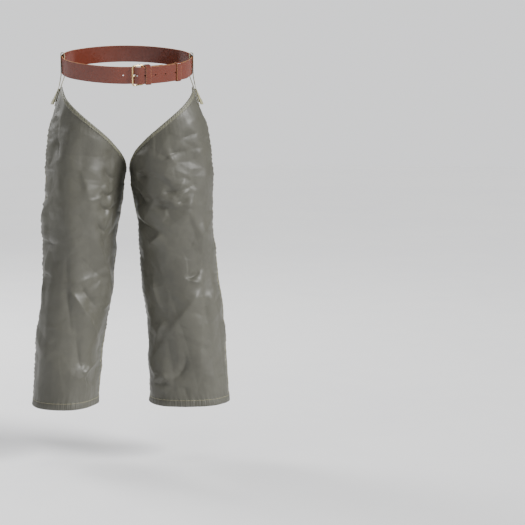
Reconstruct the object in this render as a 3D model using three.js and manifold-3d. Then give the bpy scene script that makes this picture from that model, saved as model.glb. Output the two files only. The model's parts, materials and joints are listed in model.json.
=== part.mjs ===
// Over-trouser work chaps: two open-topped coated-nylon legs, each hung from a webbing
// strap on a leather waist belt with a frame buckle. Millimetres, +Z up. The origin is the
// middle of the belt; the wearer faces -Y and the wearer's right leg is at -X.
import * as THREE from 'three';
import { mergeVertices } from 'three/addons/utils/BufferGeometryUtils.js';
import Module from 'manifold-3d';

const wasm = await Module();
wasm.setup();

// ---- driving dimensions -------------------------------------------------------------
const gap = 0.3; // between pieces that touch
// Belt, in its own plane
const hipHalfWidth = 173;
const waistHalfDepth = 115;
const hipRadius = 85;
const beltTilt = THREE.MathUtils.degToRad(15.6);
const beltHeight = 45;
const beltThickness = 4;
const layerGap = 0.6; // between belt layers that lie on each other
const beltStep = 11;
// Buckle
const heelBarPlace = 43; // along the belt from its front middle
const frameReach = 32; // heel bar to far bar, middle to middle
const barThickness = 4;
const frameCornerRadius = 7;
const frameSideGap = 1.3;
const frameInnerRadius = 1;
const prongThickness = 2.8;
const prongHeight = 3.5;
const prongReach = 35;
const foldedTail = 55;
const tonguePlace = 190; // tip of the strap end, along the belt
const tongueRounding = 24;
const holeSpacing = 28;
const holeRadius = 2.2;
const prongHolePlace = 17;
const rivetRadius = 3;
// Keepers
const keeperWidth = 14;
const keeperWall = 1.8;
const keeperClearance = 0.9;
const fixedKeeperPlace = 54;
const slidingKeeperPlace = 139.7;
// Webbing
const webWidth = 25;
const webThickness = 1.5;
const webSlideRoom = 3.5; // inside the belt, so that the strap can slide round the hip
const webLift = 2; // sewn ply above the leg's surface
const gripThickness = 1;
const gripWidth = 20;
const gripHeight = 36;
const sewnPlyEnd = 112; // below the middle of the belt
const flapEnd = 107;
// Legs
const peakDrop = 58; // belt middle to the leg's peak
const legLength = 862;
const crotchDrop = 222; // peak to crotch
const inseamHalfGap = 5;
const clothWall = 1.5;
const seamGap = 0.4;
const seamTapeWidth = 8;
const tapeThickness = 1;
const bindingDepth = 14;
const bindingGap = 0.5;
const hemHeight = 20;
const frontEdgePower = 1.28;
const backEdgePower = 1.35;
const aroundSteps = 22;
const downSteps = 9;

// Leg form at shares of its length: [share, outer side beyond the hip,
// inner side beyond the inseam gap, half depth]
const rightForm = [
  [0, 1, 0, 116],
  [0.13, 35, 0, 118],
  [0.3, 53, 3, 118],
  [0.46, 59, 24, 112],
  [0.64, 69, 46, 104],
  [0.82, 85, 79, 100],
  [1, 98, 88, 102],
];
const leftForm = [
  [0, 1, 0, 116],
  [0.13, 32, 0, 118],
  [0.3, 54, 1, 118],
  [0.46, 65, 20, 112],
  [0.64, 80, 34, 102],
  [0.82, 92, 46, 92],
  [1, 100, 47, 88],
];

// ---- materials ----------------------------------------------------------------------
const finish = (color, roughness, metalness) =>
  new THREE.MeshStandardMaterial({ color, roughness, metalness });
const coatedNylon = finish(0x6b6b60, 0.45, 0);
const bindingNylon = finish(0x83836f, 0.55, 0);
const webbing = finish(0x8a8452, 0.8, 0);
const gripTape = finish(0x3a3a30, 0.95, 0);
const leather = finish(0x8c5041, 0.4, 0);
const brass = finish(0xc9a45a, 0.3, 1);

// ---- solids -------------------------------------------------------------------------
// Turns a triangle soup inside out when its signed volume is negative.
function facingOut(positions) {
  let volume = 0;
  const a = new THREE.Vector3();
  const b = new THREE.Vector3();
  const c = new THREE.Vector3();
  for (let i = 0; i < positions.length; i += 9) {
    a.fromArray(positions, i);
    b.fromArray(positions, i + 3);
    c.fromArray(positions, i + 6);
    volume += a.dot(b.cross(c));
  }
  if (volume < 0) {
    for (let i = 0; i < positions.length; i += 9) {
      const second = positions.slice(i + 3, i + 6);
      for (let k = 0; k < 3; k += 1) {
        positions[i + 3 + k] = positions[i + 6 + k];
        positions[i + 6 + k] = second[k];
      }
    }
  }
  const geometry = new THREE.BufferGeometry();
  geometry.setAttribute('position', new THREE.Float32BufferAttribute(positions, 3));
  return mergeVertices(geometry, 1e-4);
}

// A wall between two grids of points: near(i, j) and far(i, j), i down the rows and j
// across the columns. A ring closes on itself across its columns.
function walledGrid(rows, columns, near, far, ring = false) {
  const positions = [];
  const quad = (p, q, r, s) => positions.push(...p, ...q, ...r, ...p, ...r, ...s);
  const column = (j) => (ring ? j % columns : j);
  for (let i = 0; i < rows; i += 1) {
    for (let j = 0; j < columns; j += 1) {
      const k = column(j + 1);
      quad(near(i, j), near(i + 1, j), near(i + 1, k), near(i, k));
      quad(far(i, j), far(i, k), far(i + 1, k), far(i + 1, j));
    }
  }
  for (let j = 0; j < columns; j += 1) {
    const k = column(j + 1);
    quad(near(0, j), near(0, k), far(0, k), far(0, j));
    quad(near(rows, j), far(rows, j), far(rows, k), near(rows, k));
  }
  if (!ring) {
    for (let i = 0; i < rows; i += 1) {
      quad(near(i, 0), far(i, 0), far(i + 1, 0), near(i + 1, 0));
      quad(near(i, columns), near(i + 1, columns), far(i + 1, columns), far(i, columns));
    }
  }
  return facingOut(positions);
}

// A closed outline carried through a row of stations, capped at both ends. point(i, k)
// gives corner k at station i; cap lists the end's triangles as corner numbers in order.
function carriedOutline(stations, corners, point, cap) {
  const positions = [];
  for (let i = 0; i < stations; i += 1) {
    for (let k = 0; k < corners; k += 1) {
      const next = (k + 1) % corners;
      positions.push(...point(i, k), ...point(i, next), ...point(i + 1, next));
      positions.push(...point(i, k), ...point(i + 1, next), ...point(i + 1, k));
    }
  }
  for (const [a, b, c] of cap) {
    positions.push(...point(0, a), ...point(0, c), ...point(0, b));
    positions.push(...point(stations, a), ...point(stations, b), ...point(stations, c));
  }
  return facingOut(positions);
}

function solidOf(geometry) {
  const bare = geometry.clone();
  bare.deleteAttribute('normal');
  bare.deleteAttribute('uv');
  const merged = mergeVertices(bare, 1e-4);
  return new wasm.Manifold(new wasm.Mesh({
    numProp: 3,
    vertProperties: new Float32Array(merged.attributes.position.array),
    triVerts: new Uint32Array(merged.index.array),
  }));
}

function geometryOf(solid) {
  const mesh = solid.getMesh();
  const geometry = new THREE.BufferGeometry();
  geometry.setAttribute('position', new THREE.BufferAttribute(mesh.vertProperties, 3));
  geometry.setIndex(new THREE.BufferAttribute(mesh.triVerts, 1));
  return geometry;
}

function cutAway(geometry, cutters) {
  let solid = solidOf(geometry);
  for (const cutter of cutters) {
    solid = solid.subtract(solidOf(cutter));
  }
  return geometryOf(solid);
}

function named(name, geometry, material) {
  const mesh = new THREE.Mesh(geometry, material);
  mesh.name = name;
  return mesh;
}

// ---- belt path: an oval of four arcs, in the belt's plane ----------------------------
const sideOffset = hipHalfWidth - hipRadius;
const frontRadius = (sideOffset ** 2 + waistHalfDepth ** 2 - hipRadius ** 2)
  / (2 * (waistHalfDepth - hipRadius));
const frontCentre = frontRadius - waistHalfDepth;
const turnAngle = Math.atan2(sideOffset, frontCentre);
const frontArc = frontRadius * turnAngle;
const sideArc = hipRadius * (Math.PI - 2 * turnAngle);
const beltPerimeter = 4 * frontArc + 2 * sideArc;

// Place and outward direction at a distance along the belt from its front middle,
// positive towards the wearer's left.
function beltPlace(distance, offset = 0) {
  const half = beltPerimeter / 2;
  const wrapped = THREE.MathUtils.euclideanModulo(distance + half, beltPerimeter) - half;
  const way = wrapped < 0 ? -1 : 1;
  const along = Math.abs(wrapped);
  let angle = along / frontRadius;
  let radius = frontRadius;
  let centre = [0, frontCentre];
  if (along > frontArc + sideArc) {
    angle = Math.PI - turnAngle + (along - frontArc - sideArc) / frontRadius;
    centre = [0, -frontCentre];
  } else if (along > frontArc) {
    angle = turnAngle + (along - frontArc) / hipRadius;
    radius = hipRadius;
    centre = [sideOffset, 0];
  }
  const out = new THREE.Vector2(way * Math.sin(angle), -Math.cos(angle));
  const reach = radius + offset;
  const point = new THREE.Vector2(way * centre[0] + reach * out.x, centre[1] + reach * out.y);
  return { point, out, onward: new THREE.Vector2(-out.y, out.x) };
}

// Puts a geometry built as (along the belt, outwards, up) at its place on the belt.
function ontoBelt(geometry, distance, offset = 0) {
  const { point, out, onward } = beltPlace(distance, offset);
  const frame = new THREE.Matrix4().makeBasis(
    new THREE.Vector3(onward.x, onward.y, 0),
    new THREE.Vector3(out.x, out.y, 0),
    new THREE.Vector3(0, 0, 1),
  );
  // along x outwards is downwards here, so the basis is a mirror and faces are re-sorted
  frame.setPosition(point.x, point.y, 0);
  const placed = geometry.index ? geometry.toNonIndexed() : geometry.clone();
  placed.applyMatrix4(frame);
  return facingOut(Array.from(placed.attributes.position.array));
}

const block = (alongFrom, alongTo, outFrom, outTo, halfHeight) => {
  const box = new THREE.BoxGeometry(alongTo - alongFrom, outTo - outFrom, 2 * halfHeight);
  return box.translate((alongFrom + alongTo) / 2, (outFrom + outTo) / 2, 0);
};
const peg = (radius, outFrom, outTo, height = 0) =>
  new THREE.CylinderGeometry(radius, radius, outTo - outFrom, 16)
    .translate(0, (outFrom + outTo) / 2, height);

// ---- belt pieces ----------------------------------------------------------------------
const layerStep = beltThickness + layerGap;
const barReach = barThickness / Math.SQRT2 + 0.4; // clear of the square bar's corners
const foldRadius = barReach + beltThickness / 2; // middle of the leather round the bar
const underBar = -1; // the strap end dips under the far bar
const farBarOffset = underBar + beltThickness / 2 + barReach;
const bulgeEnd = heelBarPlace - 12;
const frameRise = farBarOffset + foldRadius;
const farBarPlace = heelBarPlace - Math.sqrt(frameReach ** 2 - frameRise ** 2);
const beltRest = farBarPlace - 25; // where the strap end leaves the belt's own line

// The folded tail closes up to the layer behind the belt once it is past the bar.
function tailOffset(past) {
  const closeness = THREE.MathUtils.smoothstep(past, barReach, barReach + foldedTail / 6);
  return THREE.MathUtils.lerp(-2 * foldRadius, -layerStep, closeness);
}

function tongueOffset(distance) {
  const { smoothstep, lerp } = THREE.MathUtils;
  if (distance > farBarPlace) {
    return lerp(underBar, layerStep, smoothstep(distance, farBarPlace, bulgeEnd));
  }
  return underBar * smoothstep(distance, beltRest, farBarPlace);
}

function strapPath() {
  const path = [];
  const tailSteps = 14;
  for (let i = 0; i <= tailSteps; i += 1) {
    const past = foldedTail * (1 - i / tailSteps);
    path.push(beltPlace(heelBarPlace + past, tailOffset(past)).point);
  }
  const bar = beltPlace(heelBarPlace, -foldRadius);
  const foldSteps = 8;
  for (let i = 1; i < foldSteps; i += 1) {
    const angle = Math.PI * (i / foldSteps);
    path.push(bar.point.clone()
      .addScaledVector(bar.out, -foldRadius * Math.cos(angle))
      .addScaledVector(bar.onward, -foldRadius * Math.sin(angle)));
  }
  // An odd number of equal steps from the bar to the same place mirrored keeps one flat
  // facet centred on the middle of the back.
  const mainLength = beltPerimeter - 2 * heelBarPlace;
  const mainSteps = 2 * Math.round(mainLength / beltStep / 2) + 1;
  for (let i = 0; i <= mainSteps; i += 1) {
    path.push(beltPlace(heelBarPlace + (i / mainSteps) * mainLength).point);
  }
  const tongueStart = -heelBarPlace;
  const tongueSteps = Math.round((tonguePlace - tongueRounding - tongueStart) / (beltStep / 2));
  for (let i = 1; i <= tongueSteps; i += 1) {
    const distance = tongueStart + (i / tongueSteps) * (tonguePlace - tongueRounding - tongueStart);
    path.push(beltPlace(distance, distance > beltRest ? tongueOffset(distance) : 0).point);
  }
  const straightCount = path.length;
  const tipSteps = 7;
  for (let i = 1; i <= tipSteps; i += 1) {
    const past = tongueRounding * Math.sin((i / tipSteps) * THREE.MathUtils.degToRad(82));
    path.push(beltPlace(tonguePlace - tongueRounding + past, layerStep).point);
  }
  return { path, straightCount, tipSteps };
}

function strapGeometry() {
  const { path, straightCount, tipSteps } = strapPath();
  const side = (i, which) => {
    const before = path[Math.max(i - 1, 0)];
    const after = path[Math.min(i + 1, path.length - 1)];
    const run = after.clone().sub(before).normalize();
    const across = new THREE.Vector2(run.y, -run.x).multiplyScalar(which * beltThickness / 2);
    return path[i].clone().add(across);
  };
  const halfHeight = (i) => {
    const turned = Math.max(i - straightCount + 1, 0) / tipSteps;
    return (beltHeight / 2) * Math.cos(turned * THREE.MathUtils.degToRad(82));
  };
  const wallPoint = (which) => (i, j) => {
    const place = side(i, which);
    return [place.x, place.y, (2 * j - 1) * halfHeight(i)];
  };
  const strip = walledGrid(path.length - 1, 1, wallPoint(1), wallPoint(-1));
  const cutters = [];
  // slot in the fold for the prong's eye
  const outside = beltThickness / 2 + gap;
  cutters.push(ontoBelt(block(-9, 9, -16, outside, prongHeight / 2 + 1.5), heelBarPlace));
  // long hole that the prong stands in
  cutters.push(ontoBelt(block(-3, 9, -5, 9, prongHeight / 2 + 0.6), prongHolePlace));
  // free punched holes
  cutters.push(ontoBelt(peg(holeRadius, -5, 5), prongHolePlace - holeSpacing));
  for (let k = 1; k <= 4; k += 1) {
    cutters.push(ontoBelt(peg(holeRadius, outside, 10), prongHolePlace + k * holeSpacing));
  }
  for (const height of [-rivetHeight, rivetHeight]) {
    cutters.push(ontoBelt(peg(rivetRadius + gap, -12, outside, height), rivetPlace));
  }
  return cutAway(strip, cutters);
}

const rivetPlace = heelBarPlace + 30;
const rivetHeight = beltHeight / 4;

function roundedOutline(kind, halfWide, halfHigh, radius) {
  const outline = new kind();
  const corners = [[1, 1], [-1, 1], [-1, -1], [1, -1]];
  corners.forEach(([sx, sy], k) => {
    const start = (k * Math.PI) / 2;
    outline.absarc(sx * (halfWide - radius), sy * (halfHigh - radius), radius,
      start, start + Math.PI / 2, false);
  });
  outline.closePath();
  return outline;
}

function buckleFrameGeometry() {
  const halfHigh = beltHeight / 2 + frameSideGap + barThickness;
  const halfWide = (frameReach + barThickness) / 2;
  const shape = roundedOutline(THREE.Shape, halfWide, halfHigh, frameCornerRadius);
  shape.holes.push(roundedOutline(THREE.Path, halfWide - barThickness,
    halfHigh - barThickness, frameInnerRadius));
  const ring = new THREE.ExtrudeGeometry(shape,
    { depth: barThickness, bevelEnabled: false, curveSegments: 5 });
  ring.translate(0, 0, -barThickness / 2);
  ring.rotateX(Math.PI / 2); // now wide along x, thick along y, high along z
  ring.translate(-frameReach / 2, 0, 0);
  ring.rotateZ(-Math.asin(frameRise / frameReach));
  return ontoBelt(ring, heelBarPlace, -foldRadius);
}

function prongGeometry() {
  const half = prongThickness / 2;
  const eyeInner = barReach;
  const eyeOuter = eyeInner + 1.6;
  const rise = frameRise + barReach - 0.4 + half;
  const line = [
    new THREE.Vector2(-eyeInner, 0.2),
    new THREE.Vector2(-17, 1.4),
    new THREE.Vector2(-frameReach + 4, rise - 0.4),
    new THREE.Vector2(-prongReach, rise + 1),
  ];
  const shank = (place, way, taper) => new THREE.Vector2(place.x, place.y + way * half * taper);
  const outline = new THREE.Shape([
    shank(line[0], 1, 1),
    shank(line[1], 1, 1.1),
    shank(line[2], 1, 1.1),
    shank(line[3], 1, 0.6),
    shank(line[3], -1, 0.6),
    shank(line[2], -1, 1.1),
    shank(line[1], -1, 1.1),
    shank(line[0], -1, 1),
  ]);
  const settings = { depth: prongHeight, bevelEnabled: false, curveSegments: 12 };
  const shankSolid = solidOf(new THREE.ExtrudeGeometry(outline, settings));
  const disc = new THREE.CylinderGeometry(eyeOuter, eyeOuter, prongHeight, 20)
    .rotateX(Math.PI / 2).translate(0, 0, prongHeight / 2);
  const hole = new THREE.CylinderGeometry(eyeInner, eyeInner, prongHeight + 2, 20)
    .rotateX(Math.PI / 2).translate(0, 0, prongHeight / 2);
  const whole = geometryOf(shankSolid.add(solidOf(disc)).subtract(solidOf(hole)));
  whole.translate(0, 0, -prongHeight / 2);
  return ontoBelt(whole, heelBarPlace, -foldRadius);
}

function keeperGeometry(place, inside, outside) {
  const wide = (outside - inside) / 2 + keeperClearance;
  const high = beltHeight / 2 + keeperClearance;
  const shape = roundedOutline(THREE.Shape, wide + keeperWall, high + keeperWall, keeperWall + 1);
  shape.holes.push(roundedOutline(THREE.Path, wide, high, 1));
  const band = new THREE.ExtrudeGeometry(shape,
    { depth: keeperWidth, bevelEnabled: false, curveSegments: 3 });
  band.translate(0, 0, -keeperWidth / 2);
  // shape x -> outwards, shape y -> up, depth -> along the belt
  band.applyMatrix4(new THREE.Matrix4().makeBasis(
    new THREE.Vector3(0, 1, 0), new THREE.Vector3(0, 0, 1), new THREE.Vector3(1, 0, 0)));
  return ontoBelt(band.translate(0, (inside + outside) / 2, 0), place);
}

function beltGroup() {
  const group = new THREE.Group();
  group.rotation.x = beltTilt;
  const halfLayer = beltThickness / 2;
  const nearEdge = fixedKeeperPlace - keeperWidth / 2 - heelBarPlace;
  const tailFace = tailOffset(nearEdge) - halfLayer;
  group.add(named('belt_strap', strapGeometry(), leather));
  group.add(named('buckle_frame', buckleFrameGeometry(), brass));
  group.add(named('buckle_prong', prongGeometry(), brass));
  group.add(named('fixed_keeper',
    keeperGeometry(fixedKeeperPlace, tailFace, layerStep + halfLayer), leather));
  group.add(named('sliding_keeper',
    keeperGeometry(slidingKeeperPlace, -halfLayer, layerStep + halfLayer), leather));
  for (const [name, height] of [['upper', rivetHeight], ['lower', -rivetHeight]]) {
    const rivet = peg(rivetRadius, -layerStep - halfLayer, halfLayer, height);
    group.add(named(`fold_rivet_${name}`, ontoBelt(rivet, rivetPlace), brass));
  }
  return group;
}

// ---- legs -------------------------------------------------------------------------------
// One column of a form table at a share of the length, as a smooth curve through its rows.
function formAt(form, column, share) {
  const last = form.length - 1;
  let k = 0;
  while (k < last - 1 && form[k + 1][0] < share) {
    k += 1;
  }
  const slope = (i) => {
    const before = form[Math.max(i - 1, 0)];
    const after = form[Math.min(i + 1, last)];
    return (after[column] - before[column]) / (after[0] - before[0]);
  };
  const span = form[k + 1][0] - form[k][0];
  const s = (share - form[k][0]) / span;
  const rise = s * s * (3 - 2 * s);
  return form[k][column] * (1 - rise) + form[k + 1][column] * rise
    + span * (slope(k) * s * (1 - s) ** 2 - slope(k + 1) * s * s * (1 - s));
}

// A leg's surface. angle runs from 0 at the outer side to +-pi at the inseam, negative
// over the front; drop is measured down from the peak; proud is outwards from the cloth.
function legPoint(leg, angle, drop, proud) {
  const share = drop / legLength;
  const outer = hipHalfWidth + formAt(leg.form, 1, share);
  const inner = inseamHalfGap + formAt(leg.form, 2, share);
  const depth = formAt(leg.form, 3, share);
  const half = (outer - inner) / 2;
  const normal = new THREE.Vector2(Math.cos(angle) / half, Math.sin(angle) / depth).normalize();
  const across = (outer + inner) / 2 + half * Math.cos(angle) + proud * normal.x;
  const back = depth * Math.sin(angle) + proud * normal.y;
  return [leg.way * across, back, -peakDrop - drop];
}

function topDrop(angle) {
  const share = Math.abs(angle) / Math.PI;
  if (angle < 0) {
    return crotchDrop * share ** frontEdgePower;
  }
  return crotchDrop * (1 - (1 - share) ** backEdgePower);
}

// The same surface as the panels' facets give it: straight between their rows.
function facetPoint(leg, angle, drop, proud) {
  const wrapped = angle > Math.PI ? angle - 2 * Math.PI : angle;
  const top = topDrop(wrapped);
  const step = (legLength - top) / downSteps;
  const row = THREE.MathUtils.clamp(Math.floor((drop - top) / step), 0, downSteps - 1);
  const share = (drop - top) / step - row;
  const upper = legPoint(leg, wrapped, top + row * step, proud);
  const lower = legPoint(leg, wrapped, top + (row + 1) * step, proud);
  return upper.map((value, k) => THREE.MathUtils.lerp(value, lower[k], share));
}

const smallestDepth = Math.min(...rightForm.map((row) => row[3]), ...leftForm.map((row) => row[3]));
const seamAngle = seamGap / 2 / smallestDepth;
const clothAngle = (i) => seamAngle + (i / aroundSteps) * (Math.PI - 2 * seamAngle);

function panelGeometry(leg, face) {
  const wall = (proud) => (i, j) => {
    const angle = face * clothAngle(j);
    const top = topDrop(angle);
    return legPoint(leg, angle, top + (i / downSteps) * (legLength - top), proud);
  };
  return walledGrid(downSteps, aroundSteps, wall(0), wall(-clothWall));
}

// Folded binding over a panel's top edge: a channel whose legs lie outside and inside.
function bindingGeometry(leg, face) {
  const outsideNear = bindingGap;
  const outsideFar = bindingGap + tapeThickness;
  const insideNear = -clothWall - bindingGap;
  const insideFar = insideNear - tapeThickness;
  const section = [
    [outsideFar, bindingDepth], [outsideFar, -outsideFar], [insideFar, -outsideFar],
    [insideFar, bindingDepth], [insideNear, bindingDepth], [insideNear, -bindingGap],
    [outsideNear, -bindingGap], [outsideNear, bindingDepth],
  ];
  const cap = [[0, 1, 6], [0, 6, 7], [1, 2, 5], [1, 5, 6], [2, 3, 4], [2, 4, 5]];
  const point = (i, k) => {
    const angle = face * clothAngle(i + 1);
    const [proud, down] = section[k];
    return facetPoint(leg, angle, topDrop(angle) + down, proud);
  };
  return carriedOutline(aroundSteps - 1, section.length, point, cap);
}

// Flat-felled seam strip over the join of the two panels, round a middle angle. It bends
// where the panels' rows bend.
function seamGeometry(leg, middle, topEnd) {
  const reach = seamTapeWidth / 2 / smallestDepth;
  const bottomEnd = legLength - hemHeight - gap;
  const seamTop = middle === 0 ? 0 : crotchDrop;
  const step = (legLength - seamTop) / downSteps;
  const firstRow = Math.floor((topEnd - seamTop) / step) + 1;
  const drops = [topEnd];
  for (let row = firstRow; row < downSteps; row += 1) {
    drops.push(seamTop + row * step);
  }
  drops.push(bottomEnd);
  const wall = (proud) => (i, j) =>
    facetPoint(leg, middle + (j - 1) * reach, drops[i], proud);
  return walledGrid(drops.length - 1, 2, wall(gap + tapeThickness), wall(gap));
}

function hemGeometry(leg) {
  const angles = [];
  for (let i = 0; i <= aroundSteps; i += 1) {
    angles.push(clothAngle(i));
  }
  for (let i = aroundSteps; i >= 0; i -= 1) {
    angles.push(-clothAngle(i));
  }
  const wall = (proud) => (i, j) =>
    facetPoint(leg, angles[j], legLength - (1 - i) * hemHeight, proud);
  return walledGrid(1, angles.length, wall(gap + tapeThickness), wall(gap), true);
}

// ---- webbing hangers ----------------------------------------------------------------------
const webTop = (beltHeight / 2) / Math.cos(beltTilt) + (webWidth / 2) * Math.tan(beltTilt) + 1.6;
const innerPly = hipHalfWidth - beltThickness / 2 - webSlideRoom - webThickness / 2;
const outerPly = hipHalfWidth + beltThickness / 2 + layerGap + webThickness / 2;
const splitHeight = webTop - 1.5; // the strap folds open here
const sewnLift = webLift + webThickness / 2;
const loopTapeLift = webLift + webThickness + gap;
const hookTapeLift = loopTapeLift + gripThickness + gap;
const flapLift = hookTapeLift + gripThickness + gap + webThickness / 2;

// Distance from the middle of the body to a ply that lies over the leg at a height.
const overLeg = (leg, height, lift) =>
  hipHalfWidth + formAt(leg.form, 1, (-height - peakDrop) / legLength) + lift;

// A flat strip of webbing along a line of [across, height] points.
function webStrip(leg, line, width, thickness) {
  const wall = (which) => (i, j) => {
    const before = line[Math.max(i - 1, 0)];
    const after = line[Math.min(i + 1, line.length - 1)];
    const run = new THREE.Vector2(after[0] - before[0], after[1] - before[1]).normalize();
    const across = line[i][0] + (which * run.y * thickness) / 2;
    const height = line[i][1] - (which * run.x * thickness) / 2;
    return [leg.way * across, (j - 0.5) * width, height];
  };
  return walledGrid(line.length - 1, 1, wall(1), wall(-1));
}

function pliesOverLeg(leg, from, to, lift) {
  const steps = 4;
  const points = [];
  for (let i = 0; i <= steps; i += 1) {
    const height = from + (i / steps) * (to - from);
    points.push([overLeg(leg, height, lift), height]);
  }
  return points;
}

function hangerGeometry(leg) {
  const line = [
    [innerPly, splitHeight],
    [innerPly, -webTop + 2],
    [innerPly + 2, -webTop - 4],
    ...pliesOverLeg(leg, -peakDrop - 2, -sewnPlyEnd, sewnLift),
  ];
  return webStrip(leg, line, webWidth, webThickness);
}

function flapGeometry(leg) {
  const bend = (outerPly - innerPly) / 2;
  const line = [[innerPly, splitHeight + 2 * gap]];
  const steps = 8;
  for (let i = 1; i < steps; i += 1) {
    const angle = Math.PI * (i / steps);
    line.push([
      innerPly + bend * (1 - Math.cos(angle)),
      splitHeight + 2 * gap + (webThickness + 2) * Math.sin(angle),
    ]);
  }
  line.push([outerPly, splitHeight], [outerPly, -webTop]);
  line.push(...pliesOverLeg(leg, -peakDrop - 3, -flapEnd, flapLift));
  return webStrip(leg, line, webWidth, webThickness);
}

function gripGeometry(leg, lift) {
  const from = -peakDrop - 7;
  const line = pliesOverLeg(leg, from, from - gripHeight, lift + gripThickness / 2);
  return webStrip(leg, line, gripWidth, gripThickness);
}

function legGroup(side, leg) {
  const group = new THREE.Group();
  const add = (name, geometry, material) => group.add(named(`${side}_${name}`, geometry, material));
  add('front_panel', panelGeometry(leg, -1), coatedNylon);
  add('back_panel', panelGeometry(leg, 1), coatedNylon);
  add('side_seam', seamGeometry(leg, 0, sewnPlyEnd - peakDrop + 6), coatedNylon);
  add('inseam', seamGeometry(leg, Math.PI, crotchDrop + bindingDepth + 2), coatedNylon);
  add('front_binding', bindingGeometry(leg, -1), bindingNylon);
  add('back_binding', bindingGeometry(leg, 1), bindingNylon);
  add('hem', hemGeometry(leg), coatedNylon);
  add('hanger_strap', hangerGeometry(leg), webbing);
  add('flap_strap', flapGeometry(leg), webbing);
  add('loop_tape', gripGeometry(leg, loopTapeLift), gripTape);
  add('hook_tape', gripGeometry(leg, hookTapeLift), gripTape);
  return group;
}

const chaps = new THREE.Group();
chaps.add(beltGroup());
chaps.add(legGroup('right', { way: -1, form: rightForm }));
chaps.add(legGroup('left', { way: 1, form: leftForm }));

export default chaps;
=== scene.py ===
"""Over-trouser chaps: two coated-nylon legs hung by webbing loops from a leather belt.

Lengths in the makers below are millimetres in the frame's axes: +X is the wearer's left,
-Y the front, +Z up, and the origin is the middle of the belt. put() turns them to metres.
"""
import json
import math

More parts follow.
